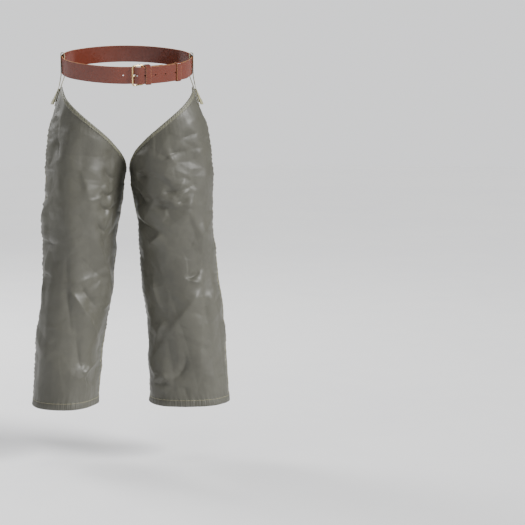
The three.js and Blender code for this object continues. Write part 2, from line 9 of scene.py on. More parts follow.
import bpy
import numpy as np
from mathutils import Vector
from mathutils.geometry import delaunay_2d_cdt
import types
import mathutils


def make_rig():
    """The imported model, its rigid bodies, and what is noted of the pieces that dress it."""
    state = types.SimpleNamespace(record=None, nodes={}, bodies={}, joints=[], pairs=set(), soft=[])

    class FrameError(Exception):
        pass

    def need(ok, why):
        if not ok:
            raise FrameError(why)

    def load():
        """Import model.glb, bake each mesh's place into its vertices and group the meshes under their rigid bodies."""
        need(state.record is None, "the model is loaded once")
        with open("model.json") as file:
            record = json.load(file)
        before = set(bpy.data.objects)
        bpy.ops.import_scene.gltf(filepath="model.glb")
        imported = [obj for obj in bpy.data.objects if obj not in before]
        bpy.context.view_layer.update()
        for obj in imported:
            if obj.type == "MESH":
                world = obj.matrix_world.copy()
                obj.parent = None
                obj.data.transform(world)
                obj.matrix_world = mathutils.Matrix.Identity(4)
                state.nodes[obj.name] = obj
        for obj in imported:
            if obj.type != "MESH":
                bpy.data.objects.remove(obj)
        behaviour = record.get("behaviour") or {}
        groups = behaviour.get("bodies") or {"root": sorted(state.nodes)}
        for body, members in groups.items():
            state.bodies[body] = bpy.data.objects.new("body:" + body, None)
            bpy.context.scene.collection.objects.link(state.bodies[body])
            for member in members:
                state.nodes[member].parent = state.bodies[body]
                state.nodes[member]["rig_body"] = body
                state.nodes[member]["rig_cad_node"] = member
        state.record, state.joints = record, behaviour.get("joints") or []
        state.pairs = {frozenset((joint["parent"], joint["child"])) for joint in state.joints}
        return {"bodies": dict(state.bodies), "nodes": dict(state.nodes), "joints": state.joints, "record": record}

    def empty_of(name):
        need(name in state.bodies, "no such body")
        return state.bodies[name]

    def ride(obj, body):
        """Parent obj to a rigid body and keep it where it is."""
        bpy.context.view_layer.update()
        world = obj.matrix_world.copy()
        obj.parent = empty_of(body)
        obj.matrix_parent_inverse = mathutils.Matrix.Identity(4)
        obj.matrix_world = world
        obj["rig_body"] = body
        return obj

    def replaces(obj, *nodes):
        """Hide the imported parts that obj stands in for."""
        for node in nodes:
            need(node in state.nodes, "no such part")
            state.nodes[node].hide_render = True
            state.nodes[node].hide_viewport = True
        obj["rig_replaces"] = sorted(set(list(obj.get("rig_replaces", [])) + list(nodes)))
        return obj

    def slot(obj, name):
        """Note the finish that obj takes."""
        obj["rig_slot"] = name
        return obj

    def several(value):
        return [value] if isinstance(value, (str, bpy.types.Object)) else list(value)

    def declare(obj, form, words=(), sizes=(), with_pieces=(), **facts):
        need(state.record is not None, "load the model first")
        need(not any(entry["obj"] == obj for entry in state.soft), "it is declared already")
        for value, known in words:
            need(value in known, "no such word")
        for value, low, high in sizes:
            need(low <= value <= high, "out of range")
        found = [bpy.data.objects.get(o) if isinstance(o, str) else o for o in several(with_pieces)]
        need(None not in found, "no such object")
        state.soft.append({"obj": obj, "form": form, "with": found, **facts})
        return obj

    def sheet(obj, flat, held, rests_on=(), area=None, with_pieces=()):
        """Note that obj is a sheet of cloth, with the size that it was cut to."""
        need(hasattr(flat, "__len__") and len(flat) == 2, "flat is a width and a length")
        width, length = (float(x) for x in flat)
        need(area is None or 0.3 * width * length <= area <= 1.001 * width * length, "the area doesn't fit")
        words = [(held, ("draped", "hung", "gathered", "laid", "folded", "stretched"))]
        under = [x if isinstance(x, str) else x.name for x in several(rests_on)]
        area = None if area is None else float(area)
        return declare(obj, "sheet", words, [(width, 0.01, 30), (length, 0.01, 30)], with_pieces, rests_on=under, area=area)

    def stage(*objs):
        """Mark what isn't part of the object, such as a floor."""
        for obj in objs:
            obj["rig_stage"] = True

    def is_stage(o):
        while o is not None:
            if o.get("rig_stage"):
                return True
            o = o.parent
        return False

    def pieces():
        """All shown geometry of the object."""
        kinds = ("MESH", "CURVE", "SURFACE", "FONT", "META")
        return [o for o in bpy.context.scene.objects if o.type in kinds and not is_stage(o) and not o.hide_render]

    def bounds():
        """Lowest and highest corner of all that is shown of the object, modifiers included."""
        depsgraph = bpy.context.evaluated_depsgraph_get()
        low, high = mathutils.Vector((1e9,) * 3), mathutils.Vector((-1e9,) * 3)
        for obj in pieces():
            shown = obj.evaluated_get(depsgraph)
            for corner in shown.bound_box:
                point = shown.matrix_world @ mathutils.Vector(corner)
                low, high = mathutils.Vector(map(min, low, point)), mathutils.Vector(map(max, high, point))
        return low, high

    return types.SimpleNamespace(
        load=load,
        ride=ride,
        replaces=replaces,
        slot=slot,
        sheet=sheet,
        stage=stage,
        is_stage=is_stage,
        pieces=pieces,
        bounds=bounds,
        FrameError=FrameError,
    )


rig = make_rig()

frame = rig.load()
frame_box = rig.bounds()
PI = math.pi

# ---- sizes, the same as the frame's ---------------------------------------------------
hip_half_width, waist_half_depth, hip_radius = 173.0, 115.0, 85.0
belt_tilt = math.radians(15.6)
belt_height, belt_thickness, layer_gap = 45.0, 4.0, 0.6
heel_bar_place, frame_reach, bar_thickness = 43.0, 32.0, 4.0
frame_corner_radius, frame_side_gap = 7.0, 1.3
prong_reach, folded_tail = 35.0, 55.0
tongue_place, tongue_rounding = 190.0, 24.0
hole_spacing, hole_radius, prong_hole_place = 28.0, 2.2, 17.0
fixed_keeper_place, sliding_keeper_place, keeper_width = 54.0, 139.7, 14.0
keeper_clearance, keeper_wall = 0.9, 1.8
rivet_place, rivet_height = heel_bar_place + 30, belt_height / 4
web_width, web_thickness, web_slide_room, web_lift = 25.0, 1.5, 3.5, 2.0
sewn_ply_end, flap_end = 112.0, 107.0
peak_drop, leg_length, crotch_drop, inseam_half_gap = 58.0, 862.0, 222.0, 5.0
binding_depth, hem_height = 14.0, 20.0
front_edge_power, back_edge_power = 1.28, 1.35
girth = 100.0  # millimetres round the leg for each radian, for patterns on the cloth

right_form = np.array([
    [0, 1, 0, 116], [0.13, 35, 0, 118], [0.3, 53, 3, 118], [0.46, 59, 24, 112],
    [0.64, 69, 46, 104], [0.82, 85, 79, 100], [1, 98, 88, 102]], float)
left_form = np.array([
    [0, 1, 0, 116], [0.13, 32, 0, 118], [0.3, 54, 1, 118], [0.46, 65, 20, 112],
    [0.64, 80, 34, 102], [0.82, 92, 46, 92], [1, 100, 47, 88]], float)


# ---- putting surfaces into meshes -------------------------------------------------------
def put(name, points, faces, material, uv=None, smooth=True, tone=None):
    """A mesh object at the origin from points in millimetres and faces as corner numbers.

    uv is one pair for each point, in metres along and across the piece. tone is one
    number for each point, kept as the attribute "edge".
    """
    mesh = bpy.data.meshes.new(name)
    mesh.from_pydata(np.asarray(points, float).reshape(-1, 3) / 1000, [], faces)
    mesh.polygons.foreach_set("use_smooth", np.full(len(mesh.polygons), smooth))
    if uv is not None:
        corner = np.empty(len(mesh.loops), int)
        mesh.loops.foreach_get("vertex_index", corner)
        layer = mesh.uv_layers.new(name="lay")
        layer.data.foreach_set("uv", (np.asarray(uv).reshape(-1, 2)[corner] / 1000).ravel())
    if tone is not None:
        edge = mesh.attributes.new("edge", "FLOAT", "POINT")
        edge.data.foreach_set("value", np.asarray(tone, float).ravel())
    mesh.update()
    piece = bpy.data.objects.new(name, mesh)
    bpy.context.scene.collection.objects.link(piece)
    mesh.materials.append(material)
    return piece


def placed(piece, body, slot, node_name=None):
    """The piece rides on a body, takes a slot's finish and may stand for a frame node."""
    if node_name:
        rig.replaces(piece, node_name)
    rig.ride(piece, body)
    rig.slot(piece, slot)
    return piece


def grid_faces(rows, columns, round_rows=False, round_columns=False):
    """Four-cornered faces of a grid of rows x columns points, numbered row by row."""
    i = np.arange(rows if round_rows else rows - 1)[:, None]
    j = np.arange(columns if round_columns else columns - 1)[None, :]
    a, b = i * columns + j, i * columns + (j + 1) % columns
    c, d = ((i + 1) % rows) * columns + (j + 1) % columns, ((i + 1) % rows) * columns + j
    return np.stack([a, b, c, d], -1).reshape(-1, 4)


def turned_out(points, faces):
    """Faces in the order that gives a closed surface a positive signed volume."""
    p = np.asarray(points, float).reshape(-1, 3)
    volume = 0.0
    for face in ([faces] if isinstance(faces, np.ndarray) else [[f] for f in faces]):
        corners = p[np.asarray(face)]
        for k in range(1, corners.shape[1] - 1):
            across = np.cross(corners[:, k], corners[:, k + 1])
            volume += np.einsum("ij,ij->", corners[:, 0], across)
    return faces if volume > 0 else [list(face)[::-1] for face in faces]


def swept(name, rings, material, loop=False, uv=None, smooth=True, tone=None):
    """A closed outline carried through stations: rings[station, corner] are points. A loop
    joins its last station to its first, anything else is closed by a flat end."""
    stations, corners = rings.shape[:2]
    faces = [list(f) for f in grid_faces(stations, corners, loop, True)]
    if not loop:
        faces.append(list(range(corners))[::-1])
        faces.append(list(range((stations - 1) * corners, stations * corners)))
    return put(name, rings, turned_out(rings, faces), material, uv, smooth, tone)


def rise(value, low, high):
    """0 up to low, 1 from high, and the smooth step 3s^2 - 2s^3 between."""
    s = np.clip((np.asarray(value, float) - low) / (high - low), 0, 1)
    return s * s * (3 - 2 * s)


def lengths_along(line):
    """Distance from a line's first point to each of its points."""
    steps = np.linalg.norm(np.diff(line, axis=0), axis=1)
    return np.concatenate([[0], np.cumsum(steps)])


def even_stations(line, step):
    """Points along a line of points (straight between them) at an even step, and their
    distances from its start."""
    line = np.asarray(line, float)
    far = lengths_along(line)
    along = np.linspace(0, far[-1], max(int(round(far[-1] / step)), 2) + 1)
    return np.stack([np.interp(along, far, line[:, k]) for k in range(line.shape[1])], 1), along


# ---- the leg's plain form --------------------------------------------------------------
def form_at(leg, column, drop):
    """One column of the form table at a drop from the peak: a cubic through its rows whose
    slope at a row is that between its two neighbours."""
    table = leg["form"]
    share = np.maximum(np.asarray(drop, float) / leg_length, -0.01)
    last = len(table) - 1
    before = np.maximum(np.arange(last + 1) - 1, 0)
    after = np.minimum(np.arange(last + 1) + 1, last)
    slope = (table[after, column] - table[before, column]) / (table[after, 0] - table[before, 0])
    k = np.clip(np.searchsorted(table[1:, 0], share), 0, last - 1)
    span = table[k + 1, 0] - table[k, 0]
    s = (share - table[k, 0]) / span
    up = s * s * (3 - 2 * s)
    return (table[k, column] * (1 - up) + table[k + 1, column] * up
            + span * (slope[k] * s * (1 - s) ** 2 - slope[k + 1] * s * s * (1 - s)))


def leg_surface(leg, angle, drop, proud=0.0):
    """Points of a leg: at each drop an ellipse whose half width and half depth come from
    the form table, moved outwards by proud. Angle 0 is the outer side, -pi/2 the front."""
    angle, drop, proud = np.broadcast_arrays(*(np.asarray(v, float) for v in (angle, drop, proud)))
    outer = hip_half_width + form_at(leg, 1, drop)
    inner = inseam_half_gap + form_at(leg, 2, drop)
    depth = form_at(leg, 3, drop)
    half = (outer - inner) / 2
    nx, ny = np.cos(angle) / half, np.sin(angle) / depth
    size = np.hypot(nx, ny)
    x = (outer + inner) / 2 + half * np.cos(angle) + proud * nx / size
    y = depth * np.sin(angle) + proud * ny / size
    return np.stack([leg["way"] * x, y, -peak_drop - drop], -1)


def wrapped(angle):
    """The same angle between -pi and pi."""
    return (np.asarray(angle, float) + PI) % (2 * PI) - PI


def top_drop(angle):
    """Drop of the top edge: rising with a power of the share of the way to the inseam in
    front, and one minus a power of what is left behind."""
    angle = wrapped(angle)
    share = np.abs(angle) / PI
    return crotch_drop * np.where(
        angle < 0, share ** front_edge_power, 1 - (1 - share) ** back_edge_power)


# ---- how the cloth hangs ---------------------------------------------------------------
def round_the_leg(leg, place):
    """(distance round the leg, height) of a place seen from in front or behind, given as
    (x, z, face) with face -1 in front and 1 behind."""
    x, z, face = place
    drop = -z - peak_drop
    outer = hip_half_width + form_at(leg, 1, drop)
    inner = inseam_half_gap + form_at(leg, 2, drop)
    across = np.clip((leg["way"] * x - (outer + inner) / 2) / ((outer - inner) / 2), -1, 1)
    return face * girth * np.arccos(across), float(z)


def bowed(line):
    """Points of the parabola through three points."""
    line = np.asarray(line, float)
    t = np.linspace(0, 1, 13)[:, None]
    pull = 2 * line[1] - (line[0] + line[2]) / 2
    return line[0] * (1 - t) ** 2 + 2 * pull * t * (1 - t) + line[2] * t ** 2


def fold(around, height, line, up, left, right, crisp=1.5, start=0.3, end=0.6):
    """One fold: up * e^(-(sqrt(d^2 + crisp^2) - crisp) / width), where d is the distance to
    the line and the width differs on its left and its right. It fades in over the share
    start of its length and out over the share end."""
    path = bowed(line)
    reach = 4 * max(left, right)
    near = ((around > path[:, 0].min() - reach) & (around < path[:, 0].max() + reach)
            & (height > path[:, 1].min() - reach) & (height < path[:, 1].max() + reach))
    out = np.zeros(around.shape)
    if not near.any():
        return out
    p = np.stack([around[near], height[near]], -1)
    best = np.full(len(p), 1e9)
    side, share = np.zeros(len(p)), np.zeros(len(p))
    for k in range(len(path) - 1):
        run = path[k + 1] - path[k]
        t = np.clip(((p - path[k]) @ run) / (run @ run), 0, 1)
        off = p - path[k] - t[:, None] * run
        far = np.hypot(off[:, 0], off[:, 1])
        nearer = far < best
        best = np.where(nearer, far, best)
        side = np.where(nearer, run[0] * off[:, 1] - run[1] * off[:, 0], side)
        share = np.where(nearer, (k + t) / (len(path) - 1), share)
    width = np.where(side > 0, left, right)
    fade = rise(share, 0, start) * (1 - rise(share, 1 - end, 1))
    out[near] = up * fade * np.exp(-(np.sqrt(best ** 2 + crisp ** 2) - crisp) / width)
    return out


nets = {}  # facet nets already drawn, by their seed and size


def facet_net(seed, wide, tall):
    """Scattered places round the leg, repeated past both ends of once round, joined into
    triangles: the triangles' corners in steps of wide and tall, and the level at each."""
    if (seed, wide, tall) in nets:
        return nets[seed, wide, tall]
    rng = np.random.default_rng(seed)
    circle = 2 * PI * girth
    columns, rows = int(round(circle / wide)), int(1000 / tall) + 2
    i, j = np.meshgrid(np.arange(columns), np.arange(rows), indexing="ij")
    u = (i + 0.5 * (j % 2) + rng.uniform(-0.42, 0.42, i.shape)) * circle / columns - circle / 2
    v = 20 - (j + rng.uniform(-0.42, 0.42, j.shape)) * tall
    level = rng.uniform(-1, 1, i.shape)
    u = np.concatenate([u.ravel() - circle, u.ravel(), u.ravel() + circle])
    v, level = np.tile(v.ravel(), 3), np.tile(level.ravel(), 3)
    kept = (u > -circle / 2 - 3 * wide) & (u < circle / 2 + 3 * wide)
    u, v, level = u[kept], v[kept], level[kept]
    net = delaunay_2d_cdt([Vector((a, b)) for a, b in zip(u / wide, v / tall)], [], [], 0, 1e-6)
    source = np.array([o[0] for o in net[3]])
    corners = np.array([[c.x, c.y] for c in net[0]])
    triangles = np.array([list(t) for t in net[2]])
    nets[seed, wide, tall] = corners[triangles], level[source[triangles]]
    return nets[seed, wide, tall]


def facets(around, height, seed, wide, tall, lean=0.0):
    """Crumpled cloth between -1 and 1: random heights at scattered points, flat across
    each triangle between them. lean slants the scatter."""
    places, levels = facet_net(seed, wide, tall)
    a, b = around / wide, (height + lean * np.abs(around)) / tall
    out = np.zeros(around.shape)
    lows, highs = places.min(1), places.max(1)
    met = ((lows[:, 0] <= a.max()) & (highs[:, 0] >= a.min())
           & (lows[:, 1] <= b.max()) & (highs[:, 1] >= b.min()))
    for p, l in zip(places[met], levels[met]):
        low, high = p.min(0), p.max(0)
        near = np.nonzero((a >= low[0]) & (a <= high[0]) & (b >= low[1]) & (b <= high[1]))
        if len(near[0]) == 0:
            continue
        e, f = p[1] - p[0], p[2] - p[0]
        cross = e[0] * f[1] - e[1] * f[0]
        if abs(cross) < 1e-9:
            continue
        da, db = a[near] - p[0, 0], b[near] - p[0, 1]
        s, t = (da * f[1] - db * f[0]) / cross, (e[0] * db - e[1] * da) / cross
        inside = (s >= -1e-9) & (t >= -1e-9) & (s + t <= 1 + 1e-9)
        picked = tuple(axis[inside] for axis in near)
        out[picked] = l[0] + s[inside] * (l[1] - l[0]) + t[inside] * (l[2] - l[0])
    return out


def patch(around, height, leg, place, wide, tall):
    """1 in the middle of a place on the leg, falling as a bell over wide and tall."""
    u, v = round_the_leg(leg, place)
    off = (around - u + PI * girth) % (2 * PI * girth) - PI * girth
    return np.exp(-(off / wide) ** 2 - ((height - v) / tall) ** 2)


def number_table(columns, text):
    """Rows of numbers written out as text."""
    return np.array(text.split(), float).reshape(-1, columns)


# One fold to a row: x and z of its start, middle and end, how far it stands up, its width on
# its left and on its right, and how round its ridge is. Left and right are as seen walking
# along the fold with the outside of the cloth up.
right_front_folds = number_table(10, """
    -150 -120 -152 -420 -158 -880 5 34 42 14
    -186 -420 -214 -690 -222 -905 4.5 26 60 5
    -162 -591 -163 -530 -160 -478 -2.2 10 14 2
    -162 -591 -122 -650 -88 -792 6 20 9 2
    -162 -591 -161 -640 -150 -760 -4 9 18 2
    -162 -591 -120 -569 -78 -560 3.2 26 9 2
    -130 -574 -108 -620 -79 -655 -4 12 9 2
    -79 -655 -64 -640 -52 -610 3 8 10 2
    -130 -812 -140 -760 -146 -640 -4.5 12 16 2.5
    -130 -826 -110 -812 -86 -792 4 16 7 1.5
    -128 -830 -110 -850 -90 -866 -3 9 7 2
    -130 -812 -124 -850 -118 -900 3 12 9 2
    -192 -195 -184 -225 -179 -262 -3.5 9 7 2
    -128 -262 -108 -330 -82 -480 3 10 26 3
    -107 -190 -122 -270 -141 -380 -2.5 30 18 6
    -62 -262 -40 -298 -14 -282 -5 12 7 2
    -74 -318 -48 -346 -10 -306 -5.5 14 7 2
    -78 -352 -52 -384 -12 -350 -5 13 7 2
    -92 -398 -66 -440 -44 -414 -5 13 7 2
    -78 -446 -62 -486 -58 -530 -3.5 9 12 2
    -232 -461 -206 -474 -178 -462 -5 12 6 1.5
    -246 -552 -220 -556 -192 -566 -4 10 6 1.5
    -240 -366 -224 -352 -206 -350 -3 8 6 2
    -60 -530 -54 -580 -58 -650 3 8 14 2
""")
left_front_folds = number_table(10, """
    104 -238 134 -229 166 -226 -5 12 6 1.5
    104 -238 116 -252 124 -268 3.5 10 8 1.5
    40 -270 84 -270 130 -252 4.5 8 16 2
    20 -286 40 -292 58 -300 -5.5 12 6 1.5
    8 -322 34 -356 64 -382 -7 14 7 1.5
    20 -404 54 -430 90 -444 -7 15 6 1.5
    92 -444 66 -470 44 -500 4.5 9 14 2
    66 -376 96 -366 124 -352 -4 12 7 1.5
    88 -334 124 -334 178 -312 -5.5 12 6 1.5
    120 -350 146 -338 166 -322 3.5 6 12 1.5
    158 -350 136 -362 118 -364 -4 8 9 1.5
    178 -312 150 -392 116 -490 4 24 14 4
    60 -252 100 -296 130 -300 2.6 10 14 2
    140 -562 178 -560 213 -506 -7 8 22 1.5
    140 -562 172 -576 206 -580 5 7 12 1.5
    204 -582 140 -668 66 -802 6 14 44 4
    204 -584 202 -650 196 -742 -3.5 26 14 4
    62 -556 74 -622 100 -678 6 26 9 2
    100 -680 80 -720 68 -780 6 30 10 2
    104 -850 88 -832 64 -822 4.5 10 14 2
    106 -850 146 -806 136 -756 -6 10 16 2
    104 -852 84 -858 58 -858 -4.5 9 8 1.5
    146 -862 147 -884 146 -908 -3.5 7 8 2
    84 -880 92 -896 98 -912 -3.5 7 7 2
    216 -600 226 -700 232 -860 4 22 30 8
    150 -120 190 -260 226 -430 3.5 20 26 8
    178 -176 150 -190 132 -196 -3 7 7 2
""")
right_back_folds = number_table(10, """
    -218 -330 -186 -450 -124 -496 -8 9 22 2
    -210 -350 -176 -466 -112 -516 5 12 18 3
    -126 -494 -92 -540 -62 -584 -5 9 18 2
    -60 -330 -96 -352 -132 -346 -5 8 13 1.5
    -40 -392 -88 -420 -140 -404 -5 8 14 1.5
    -170 -230 -140 -270 -96 -300 4 14 10 2
    -190 -560 -176 -680 -184 -860 5 26 34 6
    -132 -600 -128 -720 -134 -880 -5 18 22 4
    -84 -640 -92 -720 -100 -800 4 12 16 3
    -150 -560 -110 -590 -66 -640 4.5 10 20 2
    -232 -640 -226 -760 -236 -880 -3.5 14 18 4
""")
left_back_folds = number_table(10, """
    226 -268 190 -420 98 -532 -8.5 22 9 2
    214 -290 176 -440 92 -552 5 18 12 3
    98 -532 74 -540 48 -540 -5 14 8 2
    60 -300 96 -330 138 -330 -5 12 8 1.5
    44 -380 86 -404 130 -380 -5.5 14 8 1.5
    40 -450 70 -470 110 -462 -5 12 8 1.5
    150 -220 120 -262 70 -300 4 10 14 2
    162 -700 156 -780 160 -856 -8 12 14 3
    196 -560 200 -700 212 -880 5 30 26 6
    112 -600 104 -700 96 -860 5 18 26 4
    230 -470 200 -520 160 -566 4.5 12 20 2
""")
fold_gain = 1.75  # how much taller every fold stands than its row says
deepest_dent, furthest_out = -22, 14.5
calm, most_crumpled = 0.30, 1.25  # shares of the full crumple away from and in the patches


def drape(leg, angle, drop):
    """How far the cloth stands out from the plain form, in millimetres: long low waves, the
    named folds, crumpled facets where the leg bends, and puckers along every seam, all less
    where the cloth is held by the webbing, the binding, the hem or the other leg."""
    angle = wrapped(angle)
    angle, drop = np.broadcast_arrays(angle, np.asarray(drop, float))
    around, height = girth * angle, -peak_drop - drop
    way = leg["way"]
    total = 2.2 * np.sin(2.0 * angle + way * 0.8 + height / 260) * rise(-height, 120, 420)
    total = total + 1.6 * np.sin(5.0 * angle + height / 150 + way) * rise(-height, 420, 760)
    for face, folds in ((-1, leg["front_folds"]), (1, leg["back_folds"])):
        for x1, z1, x2, z2, x3, z3, up, left, right, crisp in folds:
            path = [round_the_leg(leg, (x, z, face)) for x, z in ((x1, z1), (x2, z2), (x3, z3))]
            mirrored = way * -face > 0
            widths = (right, left) if mirrored else (left, right)
            total = total + fold(around, height, path, fold_gain * up, *widths, crisp)
    long_planes = facets(around, height, leg["seed"] + 2, 70, 250, way * 0.35)
    total = total + leg["long_facets"] * long_planes
    total = total + 5.5 * facets(around, height, leg["seed"] + 3, 58, 120, -way * 0.5)
    strong = np.full(around.shape, calm)
    for place, wide, tall, much in leg["crumpled"]:
        strong = strong + much * patch(around, height, leg, place, wide, tall)
    strong = np.minimum(strong, most_crumpled)
    total = total + 8.5 * strong * facets(around, height, leg["seed"], 64, 46, 0.25)
    total = total + 3.0 * strong * facets(around, height, leg["seed"] + 1, 27, 19, -0.3)
    side, inner = leg["side_seam"], leg["inseam"]
    for seam, much, far in ((side, leg["pucker"], 15), (inner, 0.8, 12)):
        off = np.abs((around - girth * seam + PI * girth) % (2 * PI * girth) - PI * girth)
        beat = height / 2.15 + 1.8 * np.sin(height / 19) + 1.2 * np.sin(height / 43 + way)
        total = total + much * np.exp(-off / far) * np.sin(beat) * rise(drop, 70, 130)
        slow = np.sin(height / 7.5 + 2 * np.sin(height / 61))
        total = total + 0.9 * much * np.exp(-off / (2.2 * far)) * slow * rise(drop, 110, 200)
    below = drop - top_drop(angle)
    gathers = np.sin(1.25 * around / 2.4 + 2 * np.sin(around / 23))
    total = total + 0.8 * np.exp(-below / 16) * gathers
    above = leg_length - hem_height - drop
    ripple = np.sin(around / 2.1 + 1.5 * np.sin(around / 17) + above / 9)
    total = total + 0.8 * np.exp(-np.abs(above) / 13) * ripple
    gather = np.maximum(np.sin(around / 6.4 + 2.2 * np.sin(around / 37)), 0) ** 3
    total = total - 2.2 * gather * rise(above, -4, 10) * np.exp(-np.maximum(above, 0) / 24)
    held = np.maximum(rise(np.abs(around), 20, 46), rise(drop, 58, 96))
    edge = 0.25 + 0.75 * rise(below, 4, 48)
    hem = 0.45 + 0.55 * rise(above, -10, 90)
    total = total * held * edge * hem
    gap_here = form_at(leg, 2, drop)
    room = 1.5 + 0.8 * gap_here + 12 * (1 - rise(np.abs(angle), 2.0, 2.75))
    return np.clip(total, deepest_dent, np.minimum(room, furthest_out))


def cloth_point(leg, angle, drop, proud=0.0):
    """A point of the hanging cloth, proud of its outside."""
    return leg_surface(leg, wrapped(angle), drop, drape(leg, angle, drop) + proud)


# ---- finishes ---------------------------------------------------------------------------
def group(name, inputs, outputs):
    """An empty node group: inputs as (name, value), outputs as (name, kind)."""
    tree = bpy.data.node_groups.new(name, "ShaderNodeTree")
    for label, value in inputs:
        kind = "NodeSocketColor" if isinstance(value, tuple) else (
            "NodeSocketVector" if value is None else "NodeSocketFloat")
        socket = tree.interface.new_socket(name=label, in_out="INPUT", socket_type=kind)
        if value is not None:
            socket.default_value = value
    for label, kind in outputs:
        tree.interface.new_socket(name=label, in_out="OUTPUT", socket_type=kind)
    return tree, tree.nodes.new("NodeGroupInput"), tree.nodes.new("NodeGroupOutput")


def node(tree, kind, settings=None, **inputs):
    """A node of a kind with its settings, and its inputs given as values or as sockets."""
    made = tree.nodes.new(kind)
    for key, value in (settings or {}).items():
        setattr(made, key, value)
    for key, value in inputs.items():
        label = key.replace("_", " ")
        socket = made.inputs[int(label[1:])] if label[1:].isdigit() else made.inputs[label]
        if isinstance(value, bpy.types.NodeSocket):
            tree.links.new(value, socket)
        else:
            socket.default_value = value
    return made


def maths(tree, operation, a, b=0.0, c=0.0):
    """The result of one sum on numbers or sockets."""
    return node(tree, "ShaderNodeMath", {"operation": operation}, i0=a, i1=b, i2=c).outputs[0]


def times(tree, a, b, plus=0.0):
    """a * b + plus."""
    return maths(tree, "MULTIPLY_ADD", a, b, plus)


def mixed(tree, share, a, b):
    """A colour between a and b."""
    made = tree.nodes.new("ShaderNodeMix")
    made.data_type = "RGBA"
    for k, value in ((0, share), (6, a), (7, b)):
        if isinstance(value, bpy.types.NodeSocket):
            tree.links.new(value, made.inputs[k])
        else:
            made.inputs[k].default_value = value
    return made.outputs[2]


def weave_group():
    """Plain weave: the product of two sines along and across, as a height and a mask."""
    tree, given, out = group(
        "plain_weave", [("Place", None), ("Along", 1400.0), ("Across", 1400.0)],
        [("Height", "NodeSocketFloat"), ("Mask", "NodeSocketFloat")])
    parts = node(tree, "ShaderNodeSeparateXYZ", Vector=given.outputs["Place"])
    a = maths(tree, "SINE", maths(tree, "MULTIPLY", parts.outputs[0], given.outputs["Along"]))
    b = maths(tree, "SINE", maths(tree, "MULTIPLY", parts.outputs[1], given.outputs["Across"]))
    height = times(tree, maths(tree, "MULTIPLY", a, b), 0.5, 0.5)
    tree.links.new(height, out.inputs["Height"])
    tree.links.new(maths(tree, "POWER", height, 2.0), out.inputs["Mask"])
    return tree


def crinkle_group():
    """Small creases in thin cloth: sharp cell borders over a soft noise, as a height."""
    tree, given, out = group("crinkles", [("Place", None), ("Size", 40.0), ("Sharp", 0.5)],
                             [("Height", "NodeSocketFloat")])
    bend = node(tree, "ShaderNodeTexNoise", Vector=given.outputs["Place"], Scale=22.0, Detail=3.0)
    moved = node(tree, "ShaderNodeVectorMath", {"operation": "MULTIPLY_ADD"},
                 i0=bend.outputs["Color"], i1=(0.02, 0.02, 0.02), i2=given.outputs["Place"])
    cells = node(tree, "ShaderNodeTexVoronoi", {"feature": "F1"}, Vector=moved.outputs[0],
                 Scale=given.outputs["Size"])
    soft = node(tree, "ShaderNodeTexNoise", Vector=moved.outputs[0], Scale=given.outputs["Size"],
                Detail=2.0, Roughness=0.5)
    height = node(tree, "ShaderNodeMix", {"data_type": "FLOAT"}, i0=given.outputs["Sharp"],
                  i2=soft.outputs["Fac"], i3=cells.outputs["Distance"])
    tree.links.new(height.outputs[0], out.inputs["Height"])
    return tree


def drift_group():
    """Uneven colour: two sizes of noise blend a colour towards a second one."""
    tree, given, out = group(
        "colour_drift",
        [("Place", None), ("Main", (0.5, 0.5, 0.5, 1)), ("Second", (0.4, 0.4, 0.4, 1)),
         ("Size", 9.0), ("Much", 0.5)],
        [("Color", "NodeSocketColor"), ("Mask", "NodeSocketFloat")])
    wide = node(tree, "ShaderNodeTexNoise", Vector=given.outputs["Place"],
                Scale=given.outputs["Size"], Detail=3.0)
    small = node(tree, "ShaderNodeTexNoise", Vector=given.outputs["Place"],
                 Scale=maths(tree, "MULTIPLY", given.outputs["Size"], 9.0), Detail=2.0)
    both = times(tree, small.outputs["Fac"], 0.35,
                 maths(tree, "MULTIPLY", wide.outputs["Fac"], 0.65))
    spread = node(tree, "ShaderNodeMapRange", {"interpolation_type": "SMOOTHSTEP"}, i0=both,
                  i1=0.35, i2=0.65, i3=0.0, i4=1.0)
    mask = maths(tree, "MULTIPLY", spread.outputs[0], given.outputs["Much"])
    tree.links.new(mixed(tree, mask, given.outputs["Main"], given.outputs["Second"]),
                   out.inputs["Color"])
    tree.links.new(mask, out.inputs["Mask"])
    return tree


plain_weave, crinkles, colour_drift = weave_group(), crinkle_group(), drift_group()


def use(tree, which, **inputs):
    """A node group placed in a material with its own values."""
    return node(tree, "ShaderNodeGroup", {"node_tree": which}, **inputs)


def drift(tree, place, main, second, size, much):
    """Uneven colour from the colour_drift group."""
    return use(tree, colour_drift, Place=place, Main=main, Second=second, Size=size, Much=much)


def bump(tree, height, strength, distance, under=None):
    """A bump over an optional bump under it."""
    made = node(tree, "ShaderNodeBump", Height=height, Strength=strength, Distance=distance)
    if under is not None:
        tree.links.new(under.outputs[0], made.inputs["Normal"])
    return made


def feed(tree, shader, **sources):
    """Sockets linked to the shader's inputs of the same names."""
    for label, socket in sources.items():
        tree.links.new(socket, shader.inputs[label.replace("_", " ")])


def finish_of(name, **values):
    """A material with its shader's own plain values set. Gives it, its nodes and shader."""
    material = bpy.data.materials.new(name)
    material.use_nodes = True
    tree = material.node_tree
    shader = tree.nodes["Principled BSDF"]
    for label, value in values.items():
        shader.inputs[label.replace("_", " ")].default_value = value
    return material, tree, shader


def lay_of(tree):
    """The piece's own flat map, in metres."""
    return node(tree, "ShaderNodeUVMap", {"uv_map": "lay"}).outputs[0]


def object_place(tree):
    return tree.nodes.new("ShaderNodeTexCoord").outputs["Object"]


